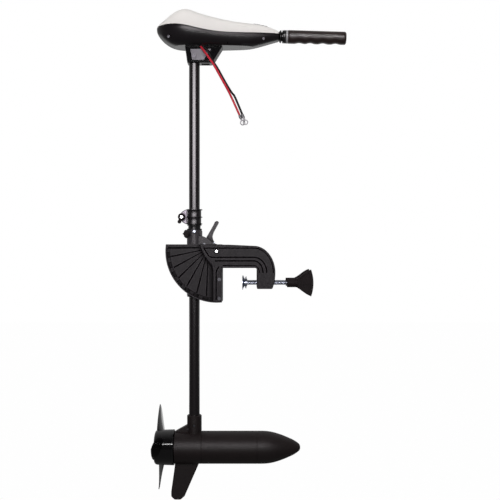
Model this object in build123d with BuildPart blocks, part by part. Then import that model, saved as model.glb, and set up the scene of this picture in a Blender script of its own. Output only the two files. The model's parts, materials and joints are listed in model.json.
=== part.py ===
from build123d import *
import math
import os

# Transom-mount electric trolling motor, millimetres, +Z up, +X towards the boat and the tiller grip.
# Origin: upper edge of the transom corner. X = 0 is the bracket face that bears on the transom,
# Z = 0 is the underside of the clamp arms that rests on top of it, Y = 0 is the middle plane.
# "Near" parts lie on the -Y side and "far" parts on the +Y side.
# Plane.XZ.offset(d) lies at Y = -d and extrudes towards -Y; its sketch points are (x, z).
# Sketch points are (y, z) on Plane.YZ and (x, y) on Plane.XY.

# ---------------------------------------------------------------- driving dimensions
CUT = Mode.SUBTRACT
RUN = 0.05               # radial running clearance

SHAFT_X = -75.0          # axis of the vertical shaft
SHAFT_R = 14.3           # 1-1/8 in tube
SHAFT_BORE = 11.3
SHAFT_TOP = 584.0
SHAFT_BOTTOM = -443.0
CROSS_BOLT_R = 2.5       # bolts across the two ends of the shaft
HEAD_CROSS_BOLT = (SHAFT_X, 562)
POD_CROSS_BOLT = (SHAFT_X, -420)

PIVOT_X, PIVOT_Z = PIVOT = (-13.5, 43.5)   # tilt pivot
PIVOT_BOLT_R = 4.0
FAN_R = 135.0            # quadrant radius about the pivot
FAN_TOP = 62.0
RIM_IN = 117.0           # inside radius of the notched rim
SIDE_IN = 28.0           # inner face of each clamp casting
FAN_OUT = 41.0           # outer face of the quadrant plates
ARM_OUT = 52.0           # outer face of the arms
NOTCH_STEP = 12.0        # degrees
NOTCHES = 7
TIE_BOLTS = [(-6.6, -30), (-6.6, -80)]
TIE_BOLT_R = 3.0
NUT_R = 4.8              # corner radius of the tie bolt heads and nuts

CLAMP_Y = 40.0           # clamp screw axes
CLAMP_Z = -39.6
SCREW_R = 5.0
INSERT_R = 8.0           # threaded insert of the clamp screw

BAR_X = -46.0            # lock bar, released
BAR_Z = -64.2
BAR_R = 4.0
BAR_TRAVEL = 10.0
LEVER_X, LEVER_Z = LEVER_PIN = (-47.9, 63.7)
LEVER_PIN_R = 2.5
LEVER_ARM = 22.0
EYE_X = LEVER_X + LEVER_ARM   # cross pin of the lever

BUSH_R = 16.5
TENSION = (-95.8, 90)    # axis of the yoke's tension screw
TENSION_R = 2.0

COLLAR_TOP, COLLAR_BOTTOM = 156.0, 115.8
COLLAR_SCREW_X, COLLAR_SCREW_Z = COLLAR_SCREW = (-108.0, 135.3)
COLLAR_SCREW_R = 2.5
TAB_ANGLE = 247.3        # direction of the thumb tab of the collar knob

HEAD_BASE = 588.7        # flat underside of the control head
HEAD_WALL = 3.0
HEAD_SCREWS = [(-140, 607.8), (110, 606.5)]
HEAD_SCREW_R = 3.2

TILLER_X, TILLER_Z = 175.8, 618.3  # start of the grip on the tiller axis
TILLER_DROP = 1.47       # degrees the tiller droops towards its end
TILLER_R, TILLER_BORE = 9.5, 7.2
SOCKET_R = 11.8
GRIP_LENGTH = 155.8
GRIP_CORE_R = 14.0
SWITCH_ROD_R = 4.0

LEAD_X, LEAD_Y = -55.7, -25.5   # where the first battery lead leaves the head
LEAD_GAP = 6.6           # spacing of the two leads there
LEAD_R = 2.8
GROMMET = (-52.5, LEAD_Y)

POD_Z = -481.4
POD_R = 43.0
POD_BORE = 39.5
RING_BORE = 37.9         # inside radius of the two seal rings
END_BORE = 36            # cavities of the rear housing and nose cone
REAR_X, REAR_SEAM, NOSE_SEAM, NOSE_X = -127.0, -54.6, 92.8, 208.5
POD_CENTRE = (0, POD_Z)
THROUGH_BOLTS = [(-33.0, POD_Z), (33.0, POD_Z)]
THROUGH_BOLT_R = 2.2
PINCH_SCREW = (-91.8, -430.5)
PINCH_R = 2.0
DRIVE_R = 6.0            # armature shaft
BEARING_R = 13
SEAL_R = 11
ARMATURE_SLOTS = 12
COMMUTATOR_R = 14.0
DRIVE_PIN = (-150, 0)
DRIVE_PIN_R = 2.0
PROP_PITCH = 110.0
HUB_FRONT, HUB_REAR = -128.6, -180.6

# ---------------------------------------------------------------- helpers
# Each works on the BuildPart block that is open where it is called.


def disc(plane, radius, length, *centres, bore=0, mode=Mode.ADD):
    """Extrude a disc or ring at each centre, or at the plane's origin."""
    with BuildSketch(plane) as sketch:
        with Locations(*(centres or [(0, 0)])):
            Circle(radius)
            if bore:
                Circle(bore, mode=CUT)
    extrude(sketch.sketch, amount=length, mode=mode)


def shaft_disc(z, radius, length, bore=0, mode=Mode.ADD):
    """Disc on the vertical shaft axis, upwards from z."""
    disc(Plane.XY.offset(z), radius, length, (SHAFT_X, 0), bore=bore, mode=mode)


def pod_disc(x, radius, length, bore=0, mode=Mode.ADD):
    """Disc on the motor axis, towards +X from x."""
    disc(Plane.YZ.offset(x), radius, length, POD_CENTRE, bore=bore, mode=mode)


def hexagon(plane, radius, length, *centres, bore=0):
    """Extrude a bolt head or a bored nut at each centre."""
    with BuildSketch(plane) as sketch:
        with Locations(*centres):
            RegularPolygon(radius, 6)
            if bore:
                Circle(bore, mode=CUT)
    extrude(sketch.sketch, amount=length)


def block(plane, width, height, length, *centres, mode=Mode.ADD):
    """Extrude a rectangle at each centre, or at the plane's origin."""
    with BuildSketch(plane) as sketch:
        with Locations(*(centres or [(0, 0)])):
            Rectangle(width, height)
    extrude(sketch.sketch, amount=length, mode=mode)


def slot(plane, spacing, width, length, centre, mode=Mode.ADD):
    """Extrude a round-ended slot."""
    with BuildSketch(plane) as sketch:
        with Locations(centre):
            SlotCenterToCenter(spacing, width)
    extrude(sketch.sketch, amount=length, mode=mode)


def outline(plane, points, length, mode=Mode.ADD):
    """Extrude the polygon through the points."""
    with BuildSketch(plane) as sketch:
        with BuildLine():
            Polyline(*points, points[0])
        make_face()
    extrude(sketch.sketch, amount=length, mode=mode)


def turned(plane, points, axis, mode=Mode.ADD):
    """Revolve the polygon through the points about the axis."""
    with BuildSketch(plane) as sketch:
        with BuildLine():
            Polyline(*points, points[0])
        make_face()
    revolve(sketch.sketch, axis=axis, mode=mode)


# ---------------------------------------------------------------- clamp castings
FAN_LEFT = PIVOT_X - math.sqrt(FAN_R**2 - (FAN_TOP - PIVOT_Z) ** 2)
FAN_LOW = PIVOT_Z - math.sqrt(FAN_R**2 - PIVOT_X**2)
FAN_START = math.degrees(math.atan2(FAN_TOP - PIVOT_Z, FAN_LEFT - PIVOT_X))
FAN_END = math.degrees(math.atan2(FAN_LOW - PIVOT_Z, 0 - PIVOT_X)) + 360

ARM_BEND = (84, -13)     # centre of the elliptical bend of the arm
# (x, z) from the foot of the screw boss round to the start of the top edge
ARM_UNDERSIDE = [
    (92, -55), (92, 0), (0, 0), (0, -90.4), (-23, -90.4), (-23, -7.8), (-25, 5.3),
    (-33.2, 15.7), (-43.6, 28.8), (-51.5, 44.5), (-58, 61.5),
]
ARM_CORNERS = [(92, 0, 5), (92, -55, 3), (132.5, -55, 4)]   # x, z, fillet radius
# z of the level run, x of the upright run, width, start x
ARM_GROOVES = [
    (52.0, 135.0, 3.4, -47.0), (28.0, 118.0, 4.2, -28.0),
    (18.6, 108.0, 4.2, -18.0), (6.6, 98.6, 3.0, 2.0),
]
ARM_GROOVE_DEPTH = 4.2
RIB_GROOVE = [
    (-49.5, 53.7), (-43.2, 43.0), (-35.8, 30.5), (-28.0, 25.9),
    (-28.0, 30.1), (-33.2, 33.2), (-39.6, 44.2), (-45.2, 53.7),
]
LEG_GROOVE = [(-16.5, -84), (-16.5, -8), (-9.0, 4.5), (-4.5, 4.5), (-12.6, -9.5), (-12.6, -84)]
FAN_GROOVE_HUB = (-36.0, 50.5)
# (x, z) that each radial groove runs out past
FAN_GROOVE_ENDS = [
    (-131, 30.4), (-122.0, 3.5), (-109.5, -22), (-90.5, -45.0), (-65, -62.0), (-40.0, -70.5),
]
FAN_GROOVE_DEPTH = 3.8
FAN_TOP_GROOVE = [(-143, 55.5), (-62, 55.5), (-58, 51.0), (-143, 49.5)]


def about_pivot(x, z, angle):
    """A point of the tilting yoke after a tilt of angle degrees about the pivot."""
    turn = math.radians(angle)
    from_x, from_z = x - PIVOT_X, z - PIVOT_Z
    return (
        PIVOT_X + from_x * math.cos(turn) + from_z * math.sin(turn),
        PIVOT_Z - from_x * math.sin(turn) + from_z * math.cos(turn),
    )


def add_quadrant_plate():
    with BuildSketch(Plane.XZ.offset(SIDE_IN)) as sketch:
        with BuildLine():
            rim = CenterArc(PIVOT, FAN_R, FAN_START, FAN_END - FAN_START)
            Polyline(rim @ 1, (0, 40), (0, FAN_TOP), rim @ 0)
        make_face()
    extrude(sketch.sketch, amount=FAN_OUT - SIDE_IN)


def add_arm():
    """Thick arm with the bearing leg and the screw boss."""
    with BuildSketch(Plane.XZ.offset(SIDE_IN)) as sketch:
        with BuildLine():
            Polyline((-58, 61.5), (20, 61), (84, 58))
            bend = EllipticalCenterArc(ARM_BEND, 56.5, 71, start_angle=0, arc_size=90)
            boss = Spline(bend @ 0, (138.5, -34), (132.5, -55))
            Polyline(boss @ 1, *ARM_UNDERSIDE)
        make_face()
        for x, z, radius in ARM_CORNERS:
            corner = [v for v in sketch.vertices() if abs(v.X - x) < 0.1 and abs(v.Y - z) < 0.1]
            fillet(corner, radius)
    extrude(sketch.sketch, amount=ARM_OUT - SIDE_IN)


def cut_lock_bar_relief():
    """Inner relief inside the notched rim, where the lock bar sweeps, and its notches."""
    inside = Plane.XZ.offset(SIDE_IN - 1)
    depth = 34.6 - SIDE_IN + 1
    # round recess at the transom corner
    disc(inside, 10, depth, mode=CUT)
    with BuildSketch(inside) as sketch:
        with BuildLine():
            rim = CenterArc(PIVOT, RIM_IN, 176.0, 84.0)
            Polyline(rim @ 1, (-34, -60), (-34, 51.5), rim @ 0)
        make_face()
    extrude(sketch.sketch, amount=depth, mode=CUT)
    with BuildSketch(inside) as sketch:
        for k in range(NOTCHES):
            x, z = about_pivot(BAR_X, BAR_Z - BAR_TRAVEL / 2 + 1.5, k * NOTCH_STEP)
            with Locations(Location((x, z, 0), (0, 0, 90 - k * NOTCH_STEP))):
                SlotCenterToCenter(BAR_TRAVEL + 3, 2 * BAR_R + 0.5)
    extrude(sketch.sketch, amount=35.2 - SIDE_IN + 1, mode=CUT)


def cut_rim_band():
    """Sunk band along the outer face of the rim, with a window outside each notch."""
    with BuildSketch(Plane.XZ.offset(FAN_OUT - 2.0)) as sketch:
        with BuildLine():
            outer = CenterArc(PIVOT, FAN_R - 2.6, 176.0, 93.0)
            inner = CenterArc(PIVOT, FAN_R - 13.5, 176.0, 93.0)
            Line(outer @ 0, inner @ 0)
            Line(outer @ 1, inner @ 1)
        make_face()
    extrude(sketch.sketch, amount=3, mode=CUT)
    with BuildSketch(Plane.XZ.offset(FAN_OUT - 4.6)) as sketch:
        for k in range(NOTCHES):
            angle = 180 + 4.5 + k * NOTCH_STEP
            x = PIVOT_X + (FAN_R - 8.0) * math.cos(math.radians(angle))
            z = PIVOT_Z + (FAN_R - 8.0) * math.sin(math.radians(angle))
            with Locations(Location((x, z, 0), (0, 0, angle))):
                Rectangle(7.4, 16.5)
    extrude(sketch.sketch, amount=5, mode=CUT)


def radial_groove(end_x, end_z):
    """Corners of a groove that widens from near the groove hub to 5 mm past its end."""
    hub_x, hub_z = FAN_GROOVE_HUB
    length = math.hypot(end_x - hub_x, end_z - hub_z)
    unit_x, unit_z = (end_x - hub_x) / length, (end_z - hub_z) / length
    near, far = 0.13 * length, length + 5.0
    return [
        (hub_x + unit_x * along - unit_z * across, hub_z + unit_z * along + unit_x * across)
        for along, across in [(near, 1.2), (far, 2.2), (far, -2.2), (near, -1.2)]
    ]


def cut_arm_grooves():
    """Long grooves that follow the arm round its bend, and two short outer grooves."""
    groove_floor = Plane.XZ.offset(ARM_OUT - ARM_GROOVE_DEPTH)
    for level_z, upright_x, width, start_x in ARM_GROOVES:
        half = width / 2
        radius_x, radius_z = upright_x - ARM_BEND[0], level_z - ARM_BEND[1]
        with BuildSketch(groove_floor) as sketch:
            with BuildLine():
                outer = EllipticalCenterArc(
                    ARM_BEND, radius_x + half, radius_z + half, start_angle=0, arc_size=90
                )
                inner = EllipticalCenterArc(
                    ARM_BEND, radius_x - half, radius_z - half, start_angle=0, arc_size=90
                )
                Line(outer @ 0, inner @ 0)
                Polyline(
                    outer @ 1, (start_x, level_z + half), (start_x, level_z - half), inner @ 1
                )
            make_face()
        extrude(sketch.sketch, amount=6, mode=CUT)
    # inside the diagonal rib, then beside the bearing leg
    outline(groove_floor, RIB_GROOVE, 6, mode=CUT)
    outline(groove_floor, LEG_GROOVE, 6, mode=CUT)


def cut_bracket_holes():
    """Pivot hole with a shallow seat, counterbored tie-bolt holes, bore for the insert."""
    disc(Plane.XZ.offset(SIDE_IN - 1), PIVOT_BOLT_R, 30, PIVOT, mode=CUT)
    disc(Plane.XZ.offset(SIDE_IN - 1), TIE_BOLT_R, 30, *TIE_BOLTS, mode=CUT)
    disc(Plane.XZ.offset(ARM_OUT - 2), 6.6, 4, PIVOT, mode=CUT)
    disc(Plane.XZ.offset(ARM_OUT - 5), 4.9, 7, *TIE_BOLTS, mode=CUT)
    disc(Plane.YZ.offset(85), INSERT_R, 60, (-CLAMP_Y, CLAMP_Z), mode=CUT)


def bracket_near():
    with BuildPart() as piece:
        add_quadrant_plate()
        add_arm()
        outer = piece.faces().filter_by(Axis.Y).sort_by(Axis.Y)[0]
        chamfer(outer.outer_wire().edges(), 1.6)
        cut_lock_bar_relief()
        cut_rim_band()
        groove_floor = Plane.XZ.offset(FAN_OUT - FAN_GROOVE_DEPTH)
        for end_x, end_z in FAN_GROOVE_ENDS:
            outline(groove_floor, radial_groove(end_x, end_z), 5, mode=CUT)
        outline(groove_floor, FAN_TOP_GROOVE, 5, mode=CUT)
        cut_arm_grooves()
        cut_bracket_holes()
    return piece.part


def bracket_far(near):
    with BuildPart() as piece:
        mirror(near, about=Plane.XZ)
    return piece.part


def transom_plate():
    with BuildPart() as piece:
        block(Plane.XY.offset(-90), 14, 2 * SIDE_IN, 102, (-7, 0))
        # two recesses in the face away from the transom
        block(Plane.YZ.offset(-15), 36, 26, 8, (0, -50), mode=CUT)
        block(Plane.YZ.offset(-15), 36, 18, 8, (0, -8), mode=CUT)
        disc(Plane.XZ.offset(-40), TIE_BOLT_R, 80, *TIE_BOLTS, mode=CUT)
        # fine horizontal grip grooves on the bearing face
        grooves = [(0, z) for z in range(-84, 8, 8)]
        disc(Plane.XZ.offset(-30), 0.8, 60, *grooves, mode=CUT)
    return piece.part


def pivot_bolt():
    with BuildPart() as piece:
        disc(Plane.XZ.offset(-60), PIVOT_BOLT_R, 60 + ARM_OUT - 2, PIVOT)
        disc(Plane.XZ.offset(ARM_OUT - 2), 5.6, 4.5, PIVOT)
        fillet(piece.edges().filter_by(GeomType.CIRCLE).sort_by(Axis.Y)[0], 2.2)
    return piece.part


def bracket_bolts():
    with BuildPart() as piece:
        shank = 2 * ARM_OUT - 0.4 - 5
        disc(Plane.XZ.offset(-(ARM_OUT - 0.4)), TIE_BOLT_R, shank, *TIE_BOLTS)
        hexagon(Plane.XZ.offset(ARM_OUT - 5), NUT_R, 3, *TIE_BOLTS)
    return piece.part


def bracket_nuts():
    """Nuts of the tie bolts and of the pivot bolt."""
    with BuildPart() as piece:
        hexagon(Plane.XZ.offset(-(ARM_OUT - 0.8)), NUT_R, 4.2, *TIE_BOLTS, bore=TIE_BOLT_R)
        hexagon(Plane.XZ.offset(-(ARM_OUT - 2) - 6), 6.4, 6, PIVOT, bore=PIVOT_BOLT_R)
    return piece.part


def clamp_nuts():
    with BuildPart() as piece:
        centres = [(-CLAMP_Y, CLAMP_Z), (CLAMP_Y, CLAMP_Z)]
        disc(Plane.YZ.offset(93.0), INSERT_R, 34, *centres, bore=SCREW_R + RUN)
    return piece.part


# ---------------------------------------------------------------- clamp screws
# half profiles of the turned parts: x, radius
PAD_PROFILE = [
    (56.2, 0), (56.2, 9.0), (53.8, 12.6), (53.8, 17.7), (55.4, 17.7), (58.6, 11.5), (59.2, 8.6),
    (60.8, 8.6), (61.4, 12.6), (62.8, 14.8), (64.4, 14.8), (63.6, 10.0), (64.2, 8.6),
    (66.6, 8.2), (66.6, 4.5), (64.4, 4.5), (64.4, 6.6), (58.0, 6.6), (58.0, 0),
]
SCREW_PROFILE = [
    (58.3, 0), (58.3, 4.5), (60.0, 6.3), (63.0, 6.3), (64.1, 5.2), (64.1, 4.3),
    (68.5, 4.3), (70.0, SCREW_R), (196, SCREW_R), (196, 0),
]
# finger dish: x, distance from the screw axis
WING_DISH = [(204, 4), (204, 11), (218, 21.5), (229, 27.0), (233.0, 14), (233.0, 4)]
WING_HALF = 6            # half thickness of the knob's wing


def clamp_plane(side, shift=0):
    """Upright plane along a clamp screw, facing -Y; side is -1 near and 1 far."""
    origin = (0, side * CLAMP_Y + shift, CLAMP_Z)
    return Plane(origin=origin, x_dir=(1, 0, 0), z_dir=(0, -1, 0))


def clamp_turning(side, profile):
    """A pad or screw turned about its clamp screw axis."""
    with BuildPart() as piece:
        turned(clamp_plane(side), profile, Axis((0, side * CLAMP_Y, CLAMP_Z), (1, 0, 0)))
    return piece.part


def clamp_knob(side):
    centre = (side * CLAMP_Y, CLAMP_Z)
    with BuildPart() as piece:
        disc(Plane.YZ.offset(171.3), 11.2, 27, centre)
        fillet(piece.edges().filter_by(GeomType.CIRCLE).sort_by(Axis.X)[0], 1.5)
        # flared wing
        with BuildSketch(clamp_plane(side, WING_HALF)):
            with BuildLine():
                Spline(
                    (186, 9.5), (200, 13.5), (216, 25.0), (234.5, 35.0),
                    tangents=[(1, 0), (1, 0.35)],
                )
                ThreePointArc((234.5, 35.0), (240.5, 0), (234.5, -35.0))
                Spline(
                    (234.5, -35.0), (216, -25.0), (200, -13.5), (186, -9.5),
                    tangents=[(-1, 0.35), (-1, 0)],
                )
                Line((186, -9.5), (186, 9.5))
            make_face()
        extrude(amount=2 * WING_HALF)
        # finger dishes in both faces of the wing
        for face in (-1, 1):
            for half in (1, -1):
                dish = [(x, half * across) for x, across in WING_DISH]
                outline(clamp_plane(side, face * WING_HALF + 1.6), dish, 3.2, mode=CUT)
        disc(Plane.YZ.offset(170), SCREW_R, 26, centre, mode=CUT)
    return piece.part


# ---------------------------------------------------------------- tilting yoke
YOKE_R = 20.0
YOKE_BOTTOM, YOKE_TOP = -75, 101
# side outlines: x, z
YOKE_WEB = [
    (-70, 84), (-52, 84), (-41, 79), (-26, 67), (-11, 61), (2, 50), (3, 38), (-6, 28),
    (-26, 16), (-40, -4), (-56, -22), (-70, -22),
]
CROSS_WALL = [(-60, 30), (-38, 30), (-38, 22), (-60, 0)]
CLAMP_EARS = [(-75, 101), (-99, 101), (-102, 98), (-102, 83), (-99, 79.5), (-75, 72)]
TOP_LIP = [(-62, 101), (-54.5, 98), (-54.5, 84), (-62, 84)]


def yoke():
    with BuildPart() as piece:
        shaft_disc(YOKE_BOTTOM, YOKE_R, YOKE_TOP - YOKE_BOTTOM)
        # pair of webs from the tube to the tilt pivot
        for side in (-1, 1):
            with BuildSketch(Plane.XZ.offset(side * 13 - 3)) as web:
                with BuildLine():
                    Polyline(*YOKE_WEB, YOKE_WEB[0])
                make_face()
                fillet([v for v in web.vertices() if v.X > -50], 5)
            extrude(amount=6)
        # pivot boss between the webs
        disc(Plane.XZ.offset(-16.0), 9.0, 32, PIVOT)
        outline(Plane.XZ.offset(-12), CROSS_WALL, 24)
        # guide block for the lock bar strap
        block(Plane.XY.offset(-46), 26, 18, 12, (-52, 0))
        # ears of the split top clamp, then the slanted lip on the +X side
        outline(Plane.XZ.offset(-9), CLAMP_EARS, 18)
        outline(Plane.XZ.offset(-13), TOP_LIP, 26)
        # bore for the bushings, clamp slit, strap passage
        shaft_disc(-80, BUSH_R, 200, mode=CUT)
        block(Plane.XY.offset(70), 16, 3, 32, (-98, 0), mode=CUT)
        block(Plane.XY.offset(-50), 5.6, 8.6, 90, (BAR_X, 0), mode=CUT)
        # pivot, lever pin and tension screw holes
        across = Plane.XZ.offset(-30)
        disc(across, PIVOT_BOLT_R + RUN, 60, PIVOT, mode=CUT)
        disc(across, LEVER_PIN_R, 60, LEVER_PIN, mode=CUT)
        disc(across, TENSION_R + RUN, 60, TENSION, mode=CUT)
    return piece.part


def upper_bushing():
    with BuildPart() as piece:
        for z, radius, length in [(66, BUSH_R, 36), (YOKE_TOP, 20, 3), (104, 16.5, 8), (112, 19, 3.6)]:
            shaft_disc(z, radius, length)
        shaft_disc(60, SHAFT_R + RUN, 60, mode=CUT)
    return piece.part


def lower_bushing():
    with BuildPart() as piece:
        shaft_disc(YOKE_BOTTOM - 3, 19, 3, bore=SHAFT_R + RUN)
        shaft_disc(YOKE_BOTTOM, BUSH_R, 32, bore=SHAFT_R + RUN)
    return piece.part


def lever_pin():
    """Pin with a thin collar at each end."""
    half, collar = 17.5, 1.5
    with BuildPart() as piece:
        disc(Plane.XZ.offset(-half), LEVER_PIN_R, 2 * half, LEVER_PIN)
        for start in (half - collar, -half):
            disc(Plane.XZ.offset(start), 3.6, collar, LEVER_PIN, bore=LEVER_PIN_R)
    return piece.part


def tension_screw():
    with BuildPart() as piece:
        disc(Plane.XZ.offset(-14), TENSION_R, 40, TENSION)
        hexagon(Plane.XZ.offset(-13.4), 2.9, 4.2, TENSION)
    return piece.part


def tension_knob():
    """Six-lobed knob with a neck."""
    knob_r = 6.6
    with BuildPart() as piece:
        with BuildSketch(Plane.XZ.offset(20.5)):
            with Locations(TENSION):
                Circle(knob_r)
                with PolarLocations(knob_r, 6):
                    Circle(1.9)
        extrude(amount=8)
        disc(Plane.XZ.offset(11), 3.4, 9.5, TENSION)
        disc(Plane.XZ.offset(9), TENSION_R, 17, TENSION, mode=CUT)
    return piece.part


# ---------------------------------------------------------------- release lever and lock bar
# side outlines: x, z
LEVER_FORK = [
    (-54, 63.7), (-51.5, 58.0), (-46, 57.6), (-26, 59.4), (-20.8, 62.0), (-21.0, 66.5),
    (-28, 81), (-40, 83),
]
LEVER_HANDLE = [
    (-42.5, 80), (-41.2, 83.5), (-36.0, 92), (-24.2, 112.6), (-19.6, 122.4), (-14.2, 125.0),
    (-9.8, 122.4), (-10.5, 118.5), (-23.7, 94.0), (-26.8, 84), (-25.5, 76.5), (-42.5, 76.5),
]
BAR_FOOT = [
    (-48.5, 52.5), (-48.5, 47.0), (-34, 47.0), (-22.0, 57.0), (-20.2, 60.5), (-20.2, 68.8),
    (-36.0, 68.8), (-36.0, 53.0), (-48.5, 53.0),
]


def release_lever():
    with BuildPart() as piece:
        for start in (-9.0, 5.0):
            with BuildSketch(Plane.XZ.offset(start)) as fork:
                with BuildLine():
                    Polyline(*LEVER_FORK, LEVER_FORK[0])
                make_face()
                fillet(fork.vertices(), 1.5)
            extrude(amount=4.0)
        # bridge over the strap eye and the handle
        outline(Plane.XZ.offset(-9), LEVER_HANDLE, 18)
        # cross pin in the strap eye
        disc(Plane.XZ.offset(-9), 2.2, 18, (EYE_X, LEVER_Z))
        disc(Plane.XZ.offset(-20), LEVER_PIN_R + RUN, 40, LEVER_PIN, mode=CUT)
    return piece.part


def lock_bar():
    """Cross bar on an upright strap."""
    with BuildPart() as piece:
        disc(Plane.XZ.offset(-33.5), BAR_R, 67, (BAR_X, BAR_Z))
        block(Plane.XY.offset(BAR_Z), 5, 8, 53.5 - BAR_Z, (BAR_X, 0))
        # foot and slotted eye that the lever's cross pin works in
        outline(Plane.XZ.offset(-4), BAR_FOOT, 8)
        slot(Plane.XZ.offset(-4), 4.2, 5.8, 8, (EYE_X - 1.2, LEVER_Z), mode=CUT)
    return piece.part


# ---------------------------------------------------------------- depth collar
COLLAR_EARS = [
    (-75, 155), (-98, 155), (-106, 150.5), (-113.5, 143), (-113.5, 128.5), (-106, 121),
    (-98, 116.5), (-75, 116.5),
]
COLLAR_RIM = 2.4
KNOB_BACK = 10.2
KNOB_SEAT = 18.6         # floor of the recess for the screw head


def depth_collar():
    height = COLLAR_TOP - COLLAR_BOTTOM
    with BuildPart() as piece:
        shaft_disc(COLLAR_BOTTOM, 18.2, height)
        for z in (COLLAR_BOTTOM, 133.8, COLLAR_TOP - COLLAR_RIM):
            shaft_disc(z, 21.3, COLLAR_RIM)
        outline(Plane.XZ.offset(-8), COLLAR_EARS, 16)
        # raised boss that keeps the knob clear of the rims
        disc(Plane.XZ.offset(8), 4.6, 2.0, COLLAR_SCREW)
        shaft_disc(COLLAR_BOTTOM - 1, SHAFT_R + RUN, height + 2, mode=CUT)
        block(Plane.XY.offset(COLLAR_BOTTOM - 1), 28, 3, height + 2, (-104, 0), mode=CUT)
        disc(Plane.XZ.offset(-20), COLLAR_SCREW_R + RUN, 40, COLLAR_SCREW, mode=CUT)
    return piece.part


def collar_screw():
    with BuildPart() as piece:
        disc(Plane.XZ.offset(-13), COLLAR_SCREW_R, 32.0, COLLAR_SCREW)
        disc(Plane.XZ.offset(KNOB_SEAT), 4.8, 3.0, COLLAR_SCREW)
        chamfer(piece.faces().sort_by(Axis.Y)[0].edges(), 0.5)
    return piece.part


def collar_knob():
    tab_x, tab_z = math.cos(math.radians(TAB_ANGLE)), math.sin(math.radians(TAB_ANGLE))
    tab_length = 14
    middle = (COLLAR_SCREW_X + tab_length / 2 * tab_x, COLLAR_SCREW_Z + tab_length / 2 * tab_z, 0)
    with BuildPart() as piece:
        disc(Plane.XZ.offset(KNOB_BACK), 9.6, 9.8, COLLAR_SCREW)
        chamfer(piece.faces().sort_by(Axis.Y)[0].edges(), 1.0)
        # thumb tab, raised so that it swings clear of the rims
        with BuildSketch(Plane.XZ.offset(17.4)):
            with Locations(Location(middle, (0, 0, TAB_ANGLE))):
                Rectangle(tab_length, 8.6)
            with Locations((COLLAR_SCREW_X + tab_length * tab_x, COLLAR_SCREW_Z + tab_length * tab_z)):
                Circle(5.0)
            with Locations(COLLAR_SCREW):
                Circle(7.6)
        extrude(amount=4.6)
        fillet(piece.faces().sort_by(Axis.Y)[0].edges(), 1.2)
        disc(Plane.XZ.offset(KNOB_BACK), COLLAR_SCREW_R, 20, COLLAR_SCREW, mode=CUT)
        disc(Plane.XZ.offset(KNOB_SEAT), 5.2, 6, COLLAR_SCREW, mode=CUT)
    return piece.part


# ---------------------------------------------------------------- shaft and head mount
MOUNT_OUTLINE = [(-99, HEAD_BASE), (-93, 545), (-30, 545), (-24, 548), (1, HEAD_BASE)]
MOUNT_POCKET = [(-86, 583), (-80, 552), (-49, 552), (-27.5, 583)]
MOUNT_HOLLOW = [(-56, 580), (-56, 540), (-34, 540), (-34, 553), (-14, 580)]


def shaft_tube():
    with BuildPart() as piece:
        shaft_disc(SHAFT_BOTTOM, SHAFT_R, SHAFT_TOP - SHAFT_BOTTOM, bore=SHAFT_BORE)
        holes = [HEAD_CROSS_BOLT, POD_CROSS_BOLT]
        disc(Plane.XZ.offset(-30), CROSS_BOLT_R, 60, *holes, mode=CUT)
    return piece.part


def head_mount():
    with BuildPart() as piece:
        outline(Plane.XZ.offset(-20), MOUNT_OUTLINE, 40)
        fillet(piece.edges().filter_by(Axis.Y).group_by(Axis.Z)[0], 3)
        end_edges = piece.faces().sort_by(Axis.X)[0].edges()
        fillet(end_edges.filter_by(lambda e: abs(e.center().Y) > 19), 5)
        # pockets in both sides
        for start in (15.0, -21.0):
            outline(Plane.XZ.offset(start), MOUNT_POCKET, 6, mode=CUT)
        # shaft socket and the wire passage above it
        shaft_disc(540, SHAFT_R, SHAFT_TOP - 540, mode=CUT)
        shaft_disc(580, SHAFT_BORE, 12, mode=CUT)
        # hollow on the +X side of the shaft
        outline(Plane.XZ.offset(-9), MOUNT_HOLLOW, 18, mode=CUT)
        disc(Plane.XZ.offset(-30), CROSS_BOLT_R, 60, HEAD_CROSS_BOLT, mode=CUT)
    return piece.part


# ---------------------------------------------------------------- tiller frame
DROP_COS, DROP_SIN = math.cos(math.radians(TILLER_DROP)), math.sin(math.radians(TILLER_DROP))
TILLER_START = (TILLER_X, 0, TILLER_Z)
TILLER_DIR = (DROP_COS, 0, -DROP_SIN)
TILLER = Plane(origin=TILLER_START, x_dir=(0, 1, 0), z_dir=TILLER_DIR)
TILLER_SIDE = Plane(origin=TILLER_START, x_dir=TILLER_DIR, z_dir=(0, -1, 0))
TILLER_AXIS = Axis(TILLER_START, TILLER_DIR)

# ---------------------------------------------------------------- control head shells
# x, crown z, seam z, underside z, half-width
STATIONS = [
    (-174, 640.5, 634.5, 628.0, 13),
    (-168, 647.0, 637.0, 617.0, 26),
    (-152, 660.0, 638.0, 601.0, 40),
    (-128, 679.0, 637.0, 589.0, 52),
    (-100, 689.5, 634.0, 585.0, 59),
    (-70, 681.5, 628.5, 584.0, 58),
    (-30, 670.0, 623.0, 584.0, 51),
    (20, 659.0, 620.5, 584.0, 43),
    (70, 652.5, 620.0, 586.5, 36),
    (110, 646.5, 619.5, 595.5, 30),
    (135, 638.5, 619.0, 602.5, 25),
    (150, 631.5, 618.6, 606.5, 21),
]
# seam line of the two shells: x, z
SEAM = [
    (-190, 635.5), (-168, 639.5), (-140, 640.5), (-110, 637.5), (-85, 632.5), (-60, 627.5),
    (-30, 623.0), (10, 620.5), (60, 620.8), (110, 621.8), (160, 622.2),
]
# hatch in the underside near the nose: x, z
HATCH = [(53, 560), (53, 594.5), (92, 594.5), (141, 607.5), (141, 560)]
HEAD_ACROSS = Plane.XZ.offset(-90)   # with a length of 180 it spans the head
HEAD_SPAN = 180


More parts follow.
